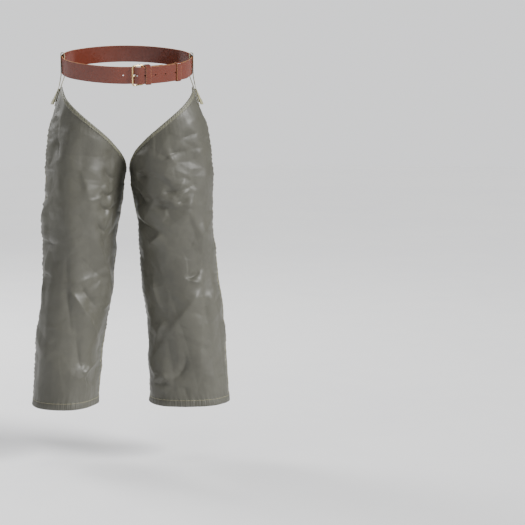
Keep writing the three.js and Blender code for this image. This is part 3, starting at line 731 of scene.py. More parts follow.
def nylon_finish(name, main, second, rough, crease=0.5):
    """Coated nylon: fine plain weave, small creases, uneven tone and an uneven gloss."""
    material, tree, shader = finish_of(name, Coat_Roughness=0.22, Specular_IOR_Level=0.42)
    place, lay = object_place(tree), lay_of(tree)
    weave = use(tree, plain_weave, Place=lay, Along=7400.0, Across=7400.0)
    tone = drift(tree, place, main, second, 6.0, 0.55)
    fleck = maths(tree, "MULTIPLY", weave.outputs["Mask"], 0.10)
    dark = tuple(0.62 * c for c in main[:3]) + (1,)
    small = use(tree, crinkles, Place=place, Size=46.0, Sharp=0.45)
    tiny = use(tree, crinkles, Place=place, Size=150.0, Sharp=0.3)
    first = bump(tree, small.outputs["Height"], crease, 0.0016)
    second_bump = bump(tree, tiny.outputs["Height"], 0.22, 0.0005, first)
    third = bump(tree, weave.outputs["Height"], 0.10, 0.00012, second_bump)
    feed(tree, shader, Base_Color=mixed(tree, fleck, tone.outputs["Color"], dark),
         Normal=third.outputs[0], Roughness=times(tree, tone.outputs["Mask"], 0.14, rough),
         Coat_Weight=times(tree, small.outputs["Height"], 0.04))
    return material


def webbing_finish(name, light, dark, worn):
    """Woven strap: a chevron of slanted ribs either side of the middle, with painted shade in the valleys between the
    ribs and along the narrow edges.
    """
    material, tree, shader = finish_of(name, Sheen_Weight=0.3, Sheen_Roughness=0.6,
                                       Specular_IOR_Level=0.3)
    lay, place = lay_of(tree), object_place(tree)
    parts = node(tree, "ShaderNodeSeparateXYZ", Vector=lay)
    mirror = maths(tree, "PINGPONG", parts.outputs[1], 0.0031)
    slant = times(tree, mirror, 0.9, parts.outputs[0])
    ribs = maths(tree, "SINE", maths(tree, "MULTIPLY", slant, 3600.0))
    yarns = maths(tree, "SINE", maths(tree, "MULTIPLY", parts.outputs[1], 6100.0))
    height = times(tree, maths(tree, "MULTIPLY", ribs, yarns), 0.35,
                   maths(tree, "MULTIPLY", ribs, 0.5))
    tone = drift(tree, place, light, worn, 30.0, 0.6)
    # Painted shade: the colour goes darker in the valleys between the ribs, where their height is low.
    painted_valley_shade = times(tree, height, -0.35, 0.35)
    edge = node(tree, "ShaderNodeAttribute", {"attribute_name": "edge"}).outputs["Fac"]
    # Painted shade along the strap's narrow edges too, where the edge attribute is 1.
    both = maths(tree, "MAXIMUM", painted_valley_shade, maths(tree, "MULTIPLY", edge, 0.35))
    feed(tree, shader, Base_Color=mixed(tree, both, tone.outputs["Color"], dark),
         Normal=bump(tree, height, 0.55, 0.0005).outputs[0],
         Roughness=times(tree, height, 0.06, 0.72))
    return material


def leather_finish():
    """Smooth dyed belt leather with pores and faint creases, and raw tan cut edges."""
    material, tree, shader = finish_of(
        "belt_leather", Coat_Roughness=0.18, Specular_IOR_Level=0.35)
    place = object_place(tree)
    tone = drift(tree, place, (0.125, 0.024, 0.011, 1), (0.095, 0.018, 0.009, 1), 14.0, 0.5)
    edge = node(tree, "ShaderNodeAttribute", {"attribute_name": "edge"}).outputs["Fac"]
    raw = drift(tree, place, (0.56, 0.30, 0.13, 1), (0.36, 0.16, 0.07, 1), 60.0, 0.8)
    cut = node(tree, "ShaderNodeMapRange", i0=edge, i1=0.45, i2=0.75, i3=0.0, i4=1.0).outputs[0]
    pores = node(tree, "ShaderNodeTexVoronoi", {"feature": "F1"}, Vector=place, Scale=950.0)
    grain = use(tree, crinkles, Place=place, Size=240.0, Sharp=0.7)
    under = bump(tree, grain.outputs["Height"], 0.16, 0.0006)
    feed(tree, shader, Base_Color=mixed(tree, cut, tone.outputs["Color"], raw.outputs["Color"]),
         Normal=bump(tree, pores.outputs["Distance"], 0.10, 0.00035, under).outputs[0],
         Roughness=times(tree, cut, 0.4, times(tree, tone.outputs["Mask"], 0.12, 0.26)),
         Coat_Weight=times(tree, cut, -0.22, 0.22))
    return material


def brass_finish():
    """Cast brass with faint marks, its colour drifting at random towards a darker one, and a duller worn film where it
    is darker.
    """
    material, tree, shader = finish_of("buckle_brass", Metallic=1.0)
    place = object_place(tree)
    tone = drift(tree, place, (0.70, 0.53, 0.27, 1), (0.42, 0.29, 0.12, 1), 55.0, 0.65)
    marks = use(tree, crinkles, Place=place, Size=420.0, Sharp=0.2)
    feed(tree, shader, Base_Color=tone.outputs["Color"],
         Roughness=times(tree, tone.outputs["Mask"], 0.25, 0.2),
         Normal=bump(tree, marks.outputs["Height"], 0.12, 0.0004).outputs[0])
    return material


def thread_finish(name, colour):
    """Sewing thread: two plies twisted, as fine slanted stripes."""
    material, tree, shader = finish_of(name, Roughness=0.6, Sheen_Weight=0.2)
    place = object_place(tree)
    parts = node(tree, "ShaderNodeSeparateXYZ", Vector=place)
    total = maths(tree, "ADD", parts.outputs[1], parts.outputs[2])
    total = maths(tree, "ADD", parts.outputs[0], total)
    twist = maths(tree, "SINE", maths(tree, "MULTIPLY", total, 9000.0))
    tone = drift(tree, place, colour, tuple(0.6 * c for c in colour[:3]) + (1,), 40.0, 0.5)
    feed(tree, shader, Base_Color=tone.outputs["Color"],
         Normal=bump(tree, twist, 0.3, 0.0003).outputs[0])
    return material


def pile_finish():
    """Grip tape: dark fuzzy loops and hooks in rows."""
    material, tree, shader = finish_of("grip_pile", Roughness=0.95, Sheen_Weight=0.5)
    place = object_place(tree)
    tufts = node(tree, "ShaderNodeTexVoronoi", {"feature": "F1"}, Vector=place, Scale=900.0)
    tone = drift(tree, place, (0.055, 0.055, 0.04, 1), (0.10, 0.10, 0.07, 1), 200.0, 0.9)
    feed(tree, shader, Base_Color=tone.outputs["Color"],
         Normal=bump(tree, tufts.outputs["Distance"], 0.9, 0.0008).outputs[0])
    return material


olive = (0.072, 0.070, 0.055, 1)
olive_second = (0.054, 0.052, 0.042, 1)
coated_nylon = nylon_finish("coated_nylon", olive, olive_second, 0.48, 0.4)
seam_nylon = nylon_finish(
    "seam_nylon", (0.130, 0.127, 0.092, 1), (0.08, 0.078, 0.058, 1), 0.45, 0.7)
binding_nylon = nylon_finish(
    "binding_nylon", (0.115, 0.112, 0.082, 1), (0.085, 0.083, 0.061, 1), 0.48, 0.5)
webbing = webbing_finish(
    "webbing", (0.36, 0.33, 0.16, 1), (0.075, 0.07, 0.02, 1), (0.27, 0.245, 0.11, 1))
belt_leather = leather_finish()
buckle_brass = brass_finish()
grip_pile = pile_finish()
olive_thread = thread_finish("olive_thread", (0.42, 0.40, 0.20, 1))
seam_thread, edging_thread, hem_thread = 0.42, 0.36, 0.45  # radii


# ---- the legs ---------------------------------------------------------------------------
legs = {
    "right": {
        "way": -1, "form": right_form, "seed": 11, "side_seam": -0.12, "inseam": -PI + 0.05,
        "pucker": 0.9, "long_facets": 10.0,
        "front_folds": right_front_folds, "back_folds": right_back_folds,
        "crumpled": [((-60, -330, -1), 60, 110, 0.55), ((-225, -420, -1), 40, 160, 0.6),
                     ((-80, -600, -1), 40, 60, 0.35), ((-80, -370, 1), 70, 120, 0.85),
                     ((-150, -480, 1), 70, 70, 0.5), ((-120, -840, -1), 40, 40, 0.3)],
    },
    "left": {
        "way": 1, "form": left_form, "seed": 23, "side_seam": -0.18, "inseam": -PI + 0.08,
        "pucker": 0.7, "long_facets": 12.0,
        "front_folds": left_front_folds, "back_folds": left_back_folds,
        "crumpled": [((80, -330, -1), 80, 110, 0.9), ((170, -250, -1), 50, 70, 0.4),
                     ((60, -620, -1), 40, 120, 0.5), ((80, -380, 1), 80, 120, 0.9),
                     ((190, -540, -1), 40, 50, 0.3), ((80, -850, -1), 40, 50, 0.4)],
    },
}
cloth_thickness = 0.8
seam_groove = 2.7  # the sewn grooves' distance from a felled seam's middle
edging_row_depth, hem_row_height = 5.8, 17.4  # stitches below the top edge, above the hem


def cloth(leg, face, name):
    """One panel: points of the hanging cloth on a grid of angle from seam to seam and of
    share of the way from the top edge to the hem."""
    first, last = leg["side_seam"], leg["inseam"] if face < 0 else leg["inseam"] + 2 * PI
    columns, rows = 108, 330
    angle = np.linspace(first, last, columns)[None, :]
    top = top_drop(angle)
    share = np.linspace(0, 1, rows)[:, None]
    drop = top + share * (leg_length - top)
    points = cloth_point(leg, angle, drop)
    uv = np.stack([np.broadcast_to(girth * angle, drop.shape), -drop], -1)
    faces = grid_faces(rows, columns)
    if leg["way"] * face < 0:
        faces = faces[:, ::-1]
    piece = put(name, points, faces, coated_nylon, uv)
    wall = piece.modifiers.new("thickness", "SOLIDIFY")
    wall.thickness = cloth_thickness / 1000
    wall.offset = -1
    return piece


def flat_map(rings, along, across):
    """A swept piece laid out flat: along for each station, across for each corner."""
    shape = rings.shape[:2]
    along = np.broadcast_to(np.asarray(along, float)[:, None], shape)
    return np.stack([along, np.broadcast_to(across, shape)], -1)


def ring_along(points_at, section):
    """rings[station, corner] of a section of number pairs carried along a path."""
    return np.stack([points_at(first, second) for first, second in section], 1)


def felled_seam(side, leg, name, middle, top_end):
    """A felled seam: a low cushion-shaped strip with two grooves where it is sewn, lifted
    and dropped along its length by the pull of its thread."""
    drop = np.arange(top_end, leg_length - hem_height - 0.2, 1.6)
    pull = 0.35 * np.sin(drop / 1.55 + 1.3 * np.sin(drop / 13)) + 0.2 * np.sin(drop / 4.1)
    section = [(-0.4, -4.2), (0.35, -4.2), (1.0, -3.6), (0.62, -seam_groove), (1.25, -1.5),
               (1.35, 0), (1.25, 1.5), (0.62, seam_groove), (1.0, 3.6), (0.35, 4.2), (-0.4, 4.2)]
    rings = ring_along(lambda proud, across: cloth_point(
        leg, middle + (across + 0.3 * np.sin(drop / 5)) / girth, drop,
        proud + np.where(proud > 0, pull, 0)), section)
    uv = flat_map(rings, drop, [5 * down for _, down in section])
    return swept(f"{side}_{name}", rings, seam_nylon, uv=uv)


def stitches(name, starts, ends, outward, radius, material):
    """Stitches as short six-sided spindles: a ring at a fifth and at four fifths of each,
    and a sunk point at either end."""
    run = ends - starts
    run_way = run / np.linalg.norm(run, axis=-1, keepdims=True)
    side = np.cross(run_way, outward)
    side /= np.linalg.norm(side, axis=-1, keepdims=True)
    lift = np.cross(side, run_way)
    turn = np.arange(6) * PI / 3
    across, up = np.cos(turn)[None, :, None], np.sin(turn)[None, :, None]
    spokes = across * side[:, None] + up * lift[:, None]
    near = (starts + 0.2 * run)[:, None] + radius * spokes
    far = (starts + 0.8 * run)[:, None] + radius * spokes
    tips = np.stack([starts - 0.6 * radius * lift, ends - 0.6 * radius * lift], 1)
    points = np.concatenate([near, far, tips], 1)
    k = np.arange(6)
    n = (k + 1) % 6
    one = ([[12, b, a] for a, b in zip(k, n)] + [[13, a + 6, b + 6] for a, b in zip(k, n)]
           + [[a, b, b + 6, a + 6] for a, b in zip(k, n)])
    flat = [[c + 14 * i for c in face] for i in range(len(starts)) for face in one]
    one_turned = turned_out(points[0], one)
    if one_turned is not one:
        flat = [face[::-1] for face in flat]
    return put(name, points, flat, material)


def sewn_row(points_at, along, pitch=3.6, share=0.72):
    """Starts, ends and outward ways of a row of stitches. points_at(distance, proud) gives
    points of the sewn surface."""
    start = np.arange(along[0], along[1] - pitch, pitch)
    a, b = points_at(start, 0.0), points_at(start + pitch * share, 0.0)
    out = points_at(start, 1.0) - a
    return a, b, out / np.linalg.norm(out, axis=-1, keepdims=True)


def joined(rows):
    return [np.concatenate(part) for part in zip(*rows)]


def seam_stitches(side, leg, name, middle, top_end):
    """Two rows of stitches in the grooves of a felled seam."""
    def in_groove(across):
        return lambda d, proud: cloth_point(leg, middle + across / girth, d, 0.95 + proud)
    reach = (top_end + 1, leg_length - hem_height - 2)
    rows = [sewn_row(in_groove(across), reach) for across in (-seam_groove, seam_groove)]
    return stitches(f"{side}_{name}", *joined(rows), seam_thread, olive_thread)


def edge_angles(leg, face, step):
    """Angles at an even step along a panel's top edge."""
    angle = face * np.linspace(0.15, PI - 0.02, 1200)
    points = leg_surface(leg, angle, top_drop(angle))
    far = lengths_along(points)
    along = np.arange(0, far[-1], step)
    return np.interp(along, far, angle), along


def gathered_edging(side, leg, face, name):
    """Elastic edging folded over the top edge: a channel outline whose outer side swells in
    two rolls beside the middle row of stitches and is pleated across, |sin| along."""
    angle, along = edge_angles(leg, face, 1.1)
    pleat = 1 - np.abs(np.sin(along / 2.35 + 0.7 * np.sin(along / 11) + 0.5 * np.sin(along / 31)))
    loose = 0.1 + 0.9 * rise(np.abs(girth * angle), 22, 60)
    section = [(0.45, 10.4), (1.15, 10.2), (1.7, 8.9), (1.75, 7.4), (0.95, edging_row_depth),
               (1.7, 4.2), (1.8, 2.2), (1.45, 0.2), (0.5, -1.5), (-0.8, -1.9), (-2.1, -1.2),
               (-2.9, 0.6), (-3.0, 4), (-2.9, 10.2), (-2.1, 10.4), (-2.0, 5), (-1.7, 0.4),
               (-0.6, -0.6), (0.45, 0.3), (0.5, 5)]

    def at(proud, down):
        swell = 0.85 * pleat * loose * (1 if proud > 0.9 else 0.25)
        grown = 0.6 if down > 10 else -0.5 if down < 0 else 0
        drop = top_drop(angle) + down + grown * pleat * loose
        return cloth_point(leg, angle, drop, np.minimum(proud, 0.65 + 1.3 * loose) + swell)
    rings = ring_along(at, section)
    uv = flat_map(rings, along, 2 * np.arange(len(section)))
    edging = swept(f"{side}_{name}", rings, binding_nylon, uv=uv)

    def on_row(d, proud):
        a = np.interp(d, along, angle * face) * face
        return cloth_point(leg, a, top_drop(a) + edging_row_depth, 1.25 + proud)
    row = sewn_row(on_row, (3, along[-1] - 2), 3.2)
    sewn = stitches(f"{side}_{name}_stitches", *row, edging_thread, olive_thread)
    return edging, sewn


def hem_band(side, leg):
    """A turned-up hem: a flat closed outline round the bottom edge, puckered by small
    slanted ripples below its row of stitches."""
    count = 460
    angle = np.linspace(-PI, PI, count, endpoint=False)
    around = girth * angle
    ripple = np.sin(around / 1.05 + 1.1 * np.sin(around / 9)) + 0.6 * np.sin(around / 2.3)
    section = [(0.5, -20.3), (1.0, -20.0), (0.95, -18.6), (0.5, -hem_row_height),
               (1.35, -15.4), (1.5, -9), (1.5, -3), (1.1, -0.6), (0.1, 0.5), (-1.0, 0.3),
               (-1.6, -1), (-1.7, -10), (-1.6, -20), (-1.0, -20.4)]

    def at(proud, up):
        lean = 0.5 * np.sin(around / 1.05 + up / 4)
        puck = (0.42 * ripple + 0.2 * lean) * (1 if proud > 0.9 else 0.3)
        return cloth_point(leg, angle, leg_length + up, proud + puck)
    rings = ring_along(at, section)
    uv = flat_map(rings, around, [up for _, up in section])
    band = swept(f"{side}_hem_band", rings, coated_nylon, loop=True, uv=uv)

    def on_row(d, proud):
        return cloth_point(leg, d / girth, leg_length - hem_row_height, 0.85 + proud)
    row = sewn_row(on_row, (-PI * girth, PI * girth), 3.8)
    sewn = stitches(f"{side}_hem_stitches", *row, hem_thread, olive_thread)
    return band, sewn


# ---- webbing ----------------------------------------------------------------------------
web_top = (belt_height / 2) / math.cos(belt_tilt) + (web_width / 2) * math.tan(belt_tilt) + 1.6
inner_ply = hip_half_width - belt_thickness / 2 - web_slide_room - web_thickness / 2
outer_ply = hip_half_width + belt_thickness / 2 + layer_gap + web_thickness / 2
split_height = web_top - 1.5
sewn_lift = web_lift + web_thickness / 2
loop_lift = web_lift + web_thickness + 0.3
hook_lift = loop_lift + 1.3
flap_lift = hook_lift + 1.3 + web_thickness / 2
tape_length, tape_width, tape_thickness = 36, 20, 1.0
flap_flare = (-46, -107, 0.30)  # from this height to this one, and the angle reached


def over_leg(leg, start, stop, lift):
    """(across, height) places of a ply over the leg's plain form at a lift above it."""
    height = np.linspace(start, stop, 12)
    return np.stack([hip_half_width + form_at(leg, 1, -height - peak_drop) + lift, height], 1)


def hanger_line(leg):
    return np.concatenate([
        [[inner_ply, split_height], [inner_ply, -web_top - 2], [inner_ply + 1.6, -web_top - 7]],
        over_leg(leg, -peak_drop - 2, -sewn_ply_end, sewn_lift)])


def flap_line(leg):
    bend = (outer_ply - inner_ply) / 2
    turn = np.linspace(0, PI, 13)
    over = np.stack([inner_ply + bend * (1 - np.cos(turn)),
                     split_height + 0.6 + (web_thickness + 2) * np.sin(turn)], 1)
    return np.concatenate([over, [[outer_ply, split_height], [outer_ply, -web_top]],
                           over_leg(leg, -peak_drop - 3, -flap_end, flap_lift)])


def strip_frames(line, step=1.6):
    """Even places along a line of (across, height), rounded by averaging neighbours, and
    the way outwards across the line there."""
    places, along = even_stations(line, step)
    for _ in range(3):
        places[1:-1] = (places[:-2] + 2 * places[1:-1] + places[2:]) / 4
    run = np.gradient(places, axis=0)
    run /= np.linalg.norm(run, axis=1, keepdims=True)
    return places, along, np.stack([-run[:, 1], run[:, 0]], 1)


def woven_strip(name, leg, line, width, thickness, material, hemmed=0.0, sense=1, flare=None):
    """A flat strap: a rounded outline carried along a line. Its last hemmed millimetres are
    folded back on themselves, half as thick again on the outside. flare, (from height, to
    height, angle), turns the strap about its front edge so that its back edge stands off."""
    places, along, outward = strip_frames(line)
    half, flat = width / 2, thickness / 2
    corner = [(1, 0.9), (0.9, 0.3), (0.3, 0)]
    front = [(flat * a, -half + b) for a, b in corner]
    front += [(-flat * a, -half + b) for a, b in corner[::-1]]
    back = [(-out, -across) for out, across in front]
    section = (front + [(-flat, -half / 3), (-flat, half / 3)]
               + back + [(flat, half / 3), (flat, -half / 3)])
    hem_start = along[-1] - hemmed
    extra = 0.8 * thickness * rise(along, hem_start - 0.8, hem_start) if hemmed else 0

    def at(out, across):
        lift = (out + (extra if out > 0 else 0)) * sense
        x = places[:, 0] + outward[:, 0] * lift
        z = places[:, 1] + outward[:, 1] * lift
        y = across * (1 + 0.006 * np.sin(along / 7))
        if flare:
            turned = flare[2] * rise(-places[:, 1], -flare[0], -flare[1])
            x, y = x + (y + half) * np.sin(turned), -half + (y + half) * np.cos(turned)
        return np.stack([leg["way"] * x, y + 0 * x, z], -1)
    rings = ring_along(at, section)
    uv = flat_map(rings, along, [across for _, across in section])
    # The narrow edges get 1 here; the webbing finish paints shade there.
    edge = [1.0 if abs(across) > half - 0.5 else 0.0 for _, across in section]
    return swept(name, rings, material, uv=uv, tone=np.broadcast_to(edge, rings.shape[:2]))


def leg_pieces(side, leg):
    """Everything that hangs on one side, each piece on its body."""
    def on_leg(piece, slot, stands_for=None):
        return placed(piece, f"{side}_leg", slot, stands_for and f"{side}_{stands_for}")

    front = on_leg(cloth(leg, -1, f"{side}_front_cloth"), "coated_nylon", "front_panel")
    back = on_leg(cloth(leg, 1, f"{side}_back_cloth"), "coated_nylon", "back_panel")
    seams = []
    for name, stands_for, middle, top_end in (
            ("outer_seam", "side_seam", leg["side_seam"], sewn_ply_end - peak_drop + 6),
            ("inner_seam", "inseam", leg["inseam"], crotch_drop + binding_depth + 2)):
        strip = felled_seam(side, leg, name, middle, top_end)
        sewn = seam_stitches(side, leg, f"{name}_stitches", middle, top_end)
        seams += [on_leg(strip, "coated_nylon", stands_for), on_leg(sewn, "coated_nylon")]
    edgings = []
    for face, name in ((-1, "front"), (1, "back")):
        edging, sewn = gathered_edging(side, leg, face, f"{name}_edging")
        edgings.append([on_leg(edging, "binding_nylon", f"{name}_binding"),
                        on_leg(sewn, "binding_nylon")])
    band, band_sewn = hem_band(side, leg)
    hem = [on_leg(band, "coated_nylon", "hem"), on_leg(band_sewn, "coated_nylon")]

    start = -peak_drop - 7
    strips = {}
    for name, body, slot, stands_for, line, wide, thick, finish, more in (
            ("hanger_webbing", "hanger", "webbing", "hanger_strap", hanger_line(leg),
             web_width, web_thickness, webbing, {"sense": -1}),
            ("flap_webbing", "flap", "webbing", "flap_strap", flap_line(leg),
             web_width, web_thickness, webbing, {"hemmed": 14, "flare": flap_flare}),
            ("loop_pile", "hanger", "grip_tape", "loop_tape",
             over_leg(leg, start, start - tape_length, loop_lift + 0.5),
             tape_width, tape_thickness, grip_pile, {"sense": -1}),
            ("hook_pile", "flap", "grip_tape", "hook_tape",
             over_leg(leg, start, start - tape_length, hook_lift + 0.5),
             tape_width, tape_thickness, grip_pile, {"sense": -1, "flare": flap_flare})):
        strip = woven_strip(f"{side}_{name}", leg, line, wide, thick, finish, **more)
        strips[name] = placed(strip, f"{side}_{body}", slot, f"{side}_{stands_for}")
    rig.sheet(front, flat=(0.33, 0.866), held="hung", area=0.245,
             rests_on=[strips["hanger_webbing"]], with_pieces=edgings[0] + seams + hem)
    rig.sheet(back, flat=(0.355, 0.866), held="hung", area=0.262,
             rests_on=[strips["hanger_webbing"]], with_pieces=edgings[1])


for side_name, leg_data in legs.items():
    leg_pieces(side_name, leg_data)


# ---- belt -------------------------------------------------------------------------------
side_offset = hip_half_width - hip_radius
front_radius = ((side_offset ** 2 + waist_half_depth ** 2 - hip_radius ** 2)
                / (2 * (waist_half_depth - hip_radius)))
front_centre = front_radius - waist_half_depth
turn_angle = math.atan2(side_offset, front_centre)
front_arc, side_arc = front_radius * turn_angle, hip_radius * (PI - 2 * turn_angle)
perimeter = 4 * front_arc + 2 * side_arc
layer_step = belt_thickness + layer_gap
bar_reach = bar_thickness / math.sqrt(2) + 0.4
fold_radius = bar_reach + belt_thickness / 2
under_bar = -1.0
frame_rise = under_bar + belt_thickness / 2 + bar_reach + fold_radius
far_bar_place = heel_bar_place - math.sqrt(frame_reach ** 2 - frame_rise ** 2)
belt_rest = far_bar_place - 25


def belt_place(distance, offset=0.0):
    """Places and outward ways in the belt's plane at distances from its front middle: an
    oval of four arcs, two of the front radius and two of the hip radius."""
    distance, offset = np.broadcast_arrays(np.asarray(distance, float), np.asarray(offset, float))
    half = perimeter / 2
    at = (distance + half) % perimeter - half
    way, along = np.where(at < 0, -1.0, 1.0), np.abs(at)
    back, hip = along > front_arc + side_arc, along > front_arc
    past_front, past_hip = along - front_arc, along - front_arc - side_arc
    angle = np.where(back, PI - turn_angle + past_hip / front_radius,
                     np.where(hip, turn_angle + past_front / hip_radius, along / front_radius))
    radius = np.where(hip & ~back, hip_radius, front_radius) + offset
    cx = np.where(hip & ~back, side_offset, 0.0)
    cy = np.where(back, -front_centre, np.where(hip, 0.0, front_centre))
    out = np.stack([way * np.sin(angle), -np.cos(angle)], -1)
    return np.stack([way * cx, cy], -1) + radius[..., None] * out, out


def tilted(flat, height):
    """Places in the belt's plane, at heights above it, turned to the belt's tilt."""
    c, s = math.cos(belt_tilt), math.sin(belt_tilt)
    x, y = flat[..., 0], flat[..., 1]
    return np.stack([x, y * c - height * s, y * s + height * c], -1)


def tail_offset(past):
    closeness = rise(past, bar_reach, bar_reach + folded_tail / 6)
    return -2 * fold_radius * (1 - closeness) - layer_step * closeness


def tongue_offset(distance):
    high = rise(distance, far_bar_place, heel_bar_place - 12)
    low = under_bar * rise(distance, belt_rest, far_bar_place)
    return np.where(distance > far_bar_place, under_bar * (1 - high) + layer_step * high, low)


def strap_line():
    """Middle line of the leather in the belt's plane: the folded tail, the half turn round
    the bar, once round the waist, and the end lying over it. Gives the distance along the
    strap where the half turn's middle is and where the strap's end crosses its own bar."""
    past = np.linspace(folded_tail, 0, 30)
    tail = belt_place(heel_bar_place + past, tail_offset(past))[0]
    bar, out = belt_place(heel_bar_place, -fold_radius)
    onward = np.array([-out[1], out[0]])
    turn = np.linspace(0, PI, 14)[1:-1, None]
    half_turn = bar - fold_radius * np.cos(turn) * out - fold_radius * np.sin(turn) * onward
    round_waist = belt_place(np.linspace(heel_bar_place, perimeter - heel_bar_place, 260))[0]
    tip = tongue_place - tongue_rounding * (1 - math.sin(math.radians(84)))
    d = np.linspace(-heel_bar_place, tip, 110)[1:]
    end = belt_place(d, tongue_offset(d))[0]
    line = np.concatenate([tail, half_turn, round_waist, end])
    far = lengths_along(line)
    end_far = np.concatenate([[far[-len(d) - 1]], far[-len(d):]])
    return line, far, far[30 + 6], np.concatenate([[-heel_bar_place], d]), end_far


def leather_strap():
    """The strap drawn flat, distance along by height, cut into triangles round its holes,
    then both faces carried onto the line half a thickness to either side."""
    line, far, fold_middle, end_d, end_far = strap_line()
    total = far[-1]
    half = belt_height / 2
    tip_start = np.interp(tongue_place - tongue_rounding, end_d, end_far)
    tip = np.linspace(0, 1, 16) * (total - tip_start)
    tip_high = half * np.sqrt(np.maximum(1 - (tip / tongue_rounding) ** 2, 0))
    u = np.concatenate([np.arange(0, tip_start, 3.2), tip_start + tip])
    high = np.concatenate([np.full(len(np.arange(0, tip_start, 3.2)), half), tip_high])
    outline = np.concatenate([np.stack([u, high], 1), np.stack([u, -high], 1)[::-1]])
    turn = np.linspace(0, 2 * PI, 17)[:-1]
    circle = np.stack([np.cos(turn), np.sin(turn)], 1)
    hole_places = prong_hole_place + hole_spacing * np.array([-1, 1, 2, 3, 4])
    holes = [circle * hole_radius + [place, 0] for place in np.interp(hole_places, end_d, end_far)]
    long_hole = circle * 2.35
    long_hole[:, 0] += np.where(circle[:, 0] > 0, 5.4, -3.65) + np.interp(20, end_d, end_far)
    slot = np.array([(1, 1), (-1, 1), (-1, -1), (1, -1)]) * [16.5, 3.2] + [fold_middle, 0]
    holes += [long_hole, slot]
    inner = np.stack(np.meshgrid(np.arange(3.2, tip_start + 16, 3.2),
                                 np.linspace(-half + 1.5, half - 1.5, 7),
                                 indexing="ij"), -1).reshape(-1, 2)
    past_tip = inner[:, 0] > tip_start
    share = (inner[:, 0] - tip_start) / tongue_rounding
    limit = half * np.sqrt(np.maximum(1 - share ** 2, 0)) - 1.5
    inner = inner[~past_tip | (np.abs(inner[:, 1]) < limit)]
    for hole in holes:
        low, top = hole.min(0) - 0.9, hole.max(0) + 0.9
        inner = inner[~((inner > low) & (inner < top)).all(1)]
    loops = [outline] + holes
    points, edges = [], []
    for loop in loops:
        first = len(points)
        points += [tuple(p) for p in loop]
        edges += [(first + i, first + (i + 1) % len(loop)) for i in range(len(loop))]
    points += [tuple(p) for p in inner]
    net = delaunay_2d_cdt([Vector(p) for p in points], edges, [], 1, 1e-5)
    flat = np.array([[c.x, c.y] for c in net[0]])
    tris = np.array([list(t) for t in net[2]])
    middle = flat[tris].mean(1)
    keep = np.ones(len(tris), bool)
    for hole in holes:
        centre, size = hole.mean(0), (hole.max(0) - hole.min(0)) / 2
        inside = (np.abs(middle - centre) < size).all(1)
        if len(hole) > 4 and size[0] < 3:
            inside = np.hypot(*(middle - centre).T) < hole_radius * 0.98
        elif len(hole) > 4:
            stadium = np.maximum(np.abs(middle[:, 0] - centre[0]) - 4.525, 0)
            inside = np.hypot(stadium, middle[:, 1] - centre[1]) < 2.3
        keep &= ~inside
    tris = tris[keep]
    ends = np.stack([np.interp(flat[:, 0], far, line[:, k]) for k in (0, 1)], 1)
    run = (np.stack([np.interp(flat[:, 0] + 1, far, line[:, k]) for k in (0, 1)], 1)
           - np.stack([np.interp(flat[:, 0] - 1, far, line[:, k]) for k in (0, 1)], 1))
    run /= np.linalg.norm(run, axis=1, keepdims=True)
    across = np.stack([run[:, 1], -run[:, 0]], 1)
    count = len(flat)
    faces_of = [tilted(ends + across * which * belt_thickness / 2, flat[:, 1]) for which in (1, -1)]
    sides = np.concatenate([tris[:, [0, 1]], tris[:, [1, 2]], tris[:, [2, 0]]])
    pairs = {tuple(s) for s in sides.tolist()}
    rims = [s for s in sides.tolist() if (s[1], s[0]) not in pairs]
    on_cut = np.zeros(count)
    rim_points = sorted({v for s in rims for v in s})
    on_cut[rim_points] = 1
    wall_at = 2 * count + np.arange(len(rim_points))
    number = {v: k for k, v in enumerate(rim_points)}
    walls = []
    middle_points = (faces_of[0][rim_points] + faces_of[1][rim_points]) / 2
    for a, b in rims:
        ma, mb = int(wall_at[number[a]]), int(wall_at[number[b]])
        walls += [[b, a, ma, mb], [mb, ma, a + count, b + count]]
    points = np.concatenate([faces_of[0], faces_of[1], middle_points])
    faces = tris.tolist() + (tris[:, ::-1] + count).tolist() + walls
    uv = np.concatenate([flat, flat, flat[rim_points]])
    tone = np.concatenate([np.zeros(2 * count), np.ones(len(rim_points))])
    strap = put("leather_strap", points, turned_out(points, faces), belt_leather, uv, tone=tone)
    edges_cut = strap.modifiers.new("rounded_edges", "BEVEL")
    edges_cut.width, edges_cut.segments = 0.0005, 2
    edges_cut.limit_method, edges_cut.angle_limit = "ANGLE", math.radians(50)
    edges_cut.harden_normals = True
    placed(strap, "belt", "belt_leather", "belt_strap")


def onto_belt(local, distance, offset=0.0):
    """Points given as (along, outwards, up) from a place on the belt."""
    place, out = belt_place(distance, offset)
    onward = np.array([-out[1], out[0]])
    flat = place + local[..., :1] * onward + local[..., 1:2] * out
    return tilted(flat, local[..., 2])


def rounded_rectangle(wide, high, radius, steps):
    """Points round a rectangle with corner arcs, and the outward way at each."""
    turn = np.concatenate([np.linspace(k * PI / 2, (k + 1) * PI / 2, steps) for k in range(4)])
    sx, sy = np.repeat([1, -1, -1, 1], steps), np.repeat([1, 1, -1, -1], steps)
    out = np.stack([np.cos(turn), np.sin(turn)], 1)
    centre = np.stack([sx * (wide - radius), sy * (high - radius)], 1)
    return centre + radius * out, out


def with_straights(points, out, step):
    """The closed line of points filled in at an even step, with its outward ways."""
    closed = np.concatenate([points, out], 1)
    closed = np.concatenate([closed, closed[:1]])
    far = lengths_along(closed[:, :2])
    along = np.linspace(0, far[-1], int(round(far[-1] / step)) + 1)[:-1]
    filled = np.stack([np.interp(along, far, closed[:, k]) for k in range(4)], 1)
    return filled[:, :2], filled[:, 2:] / np.linalg.norm(filled[:, 2:], axis=1, keepdims=True)


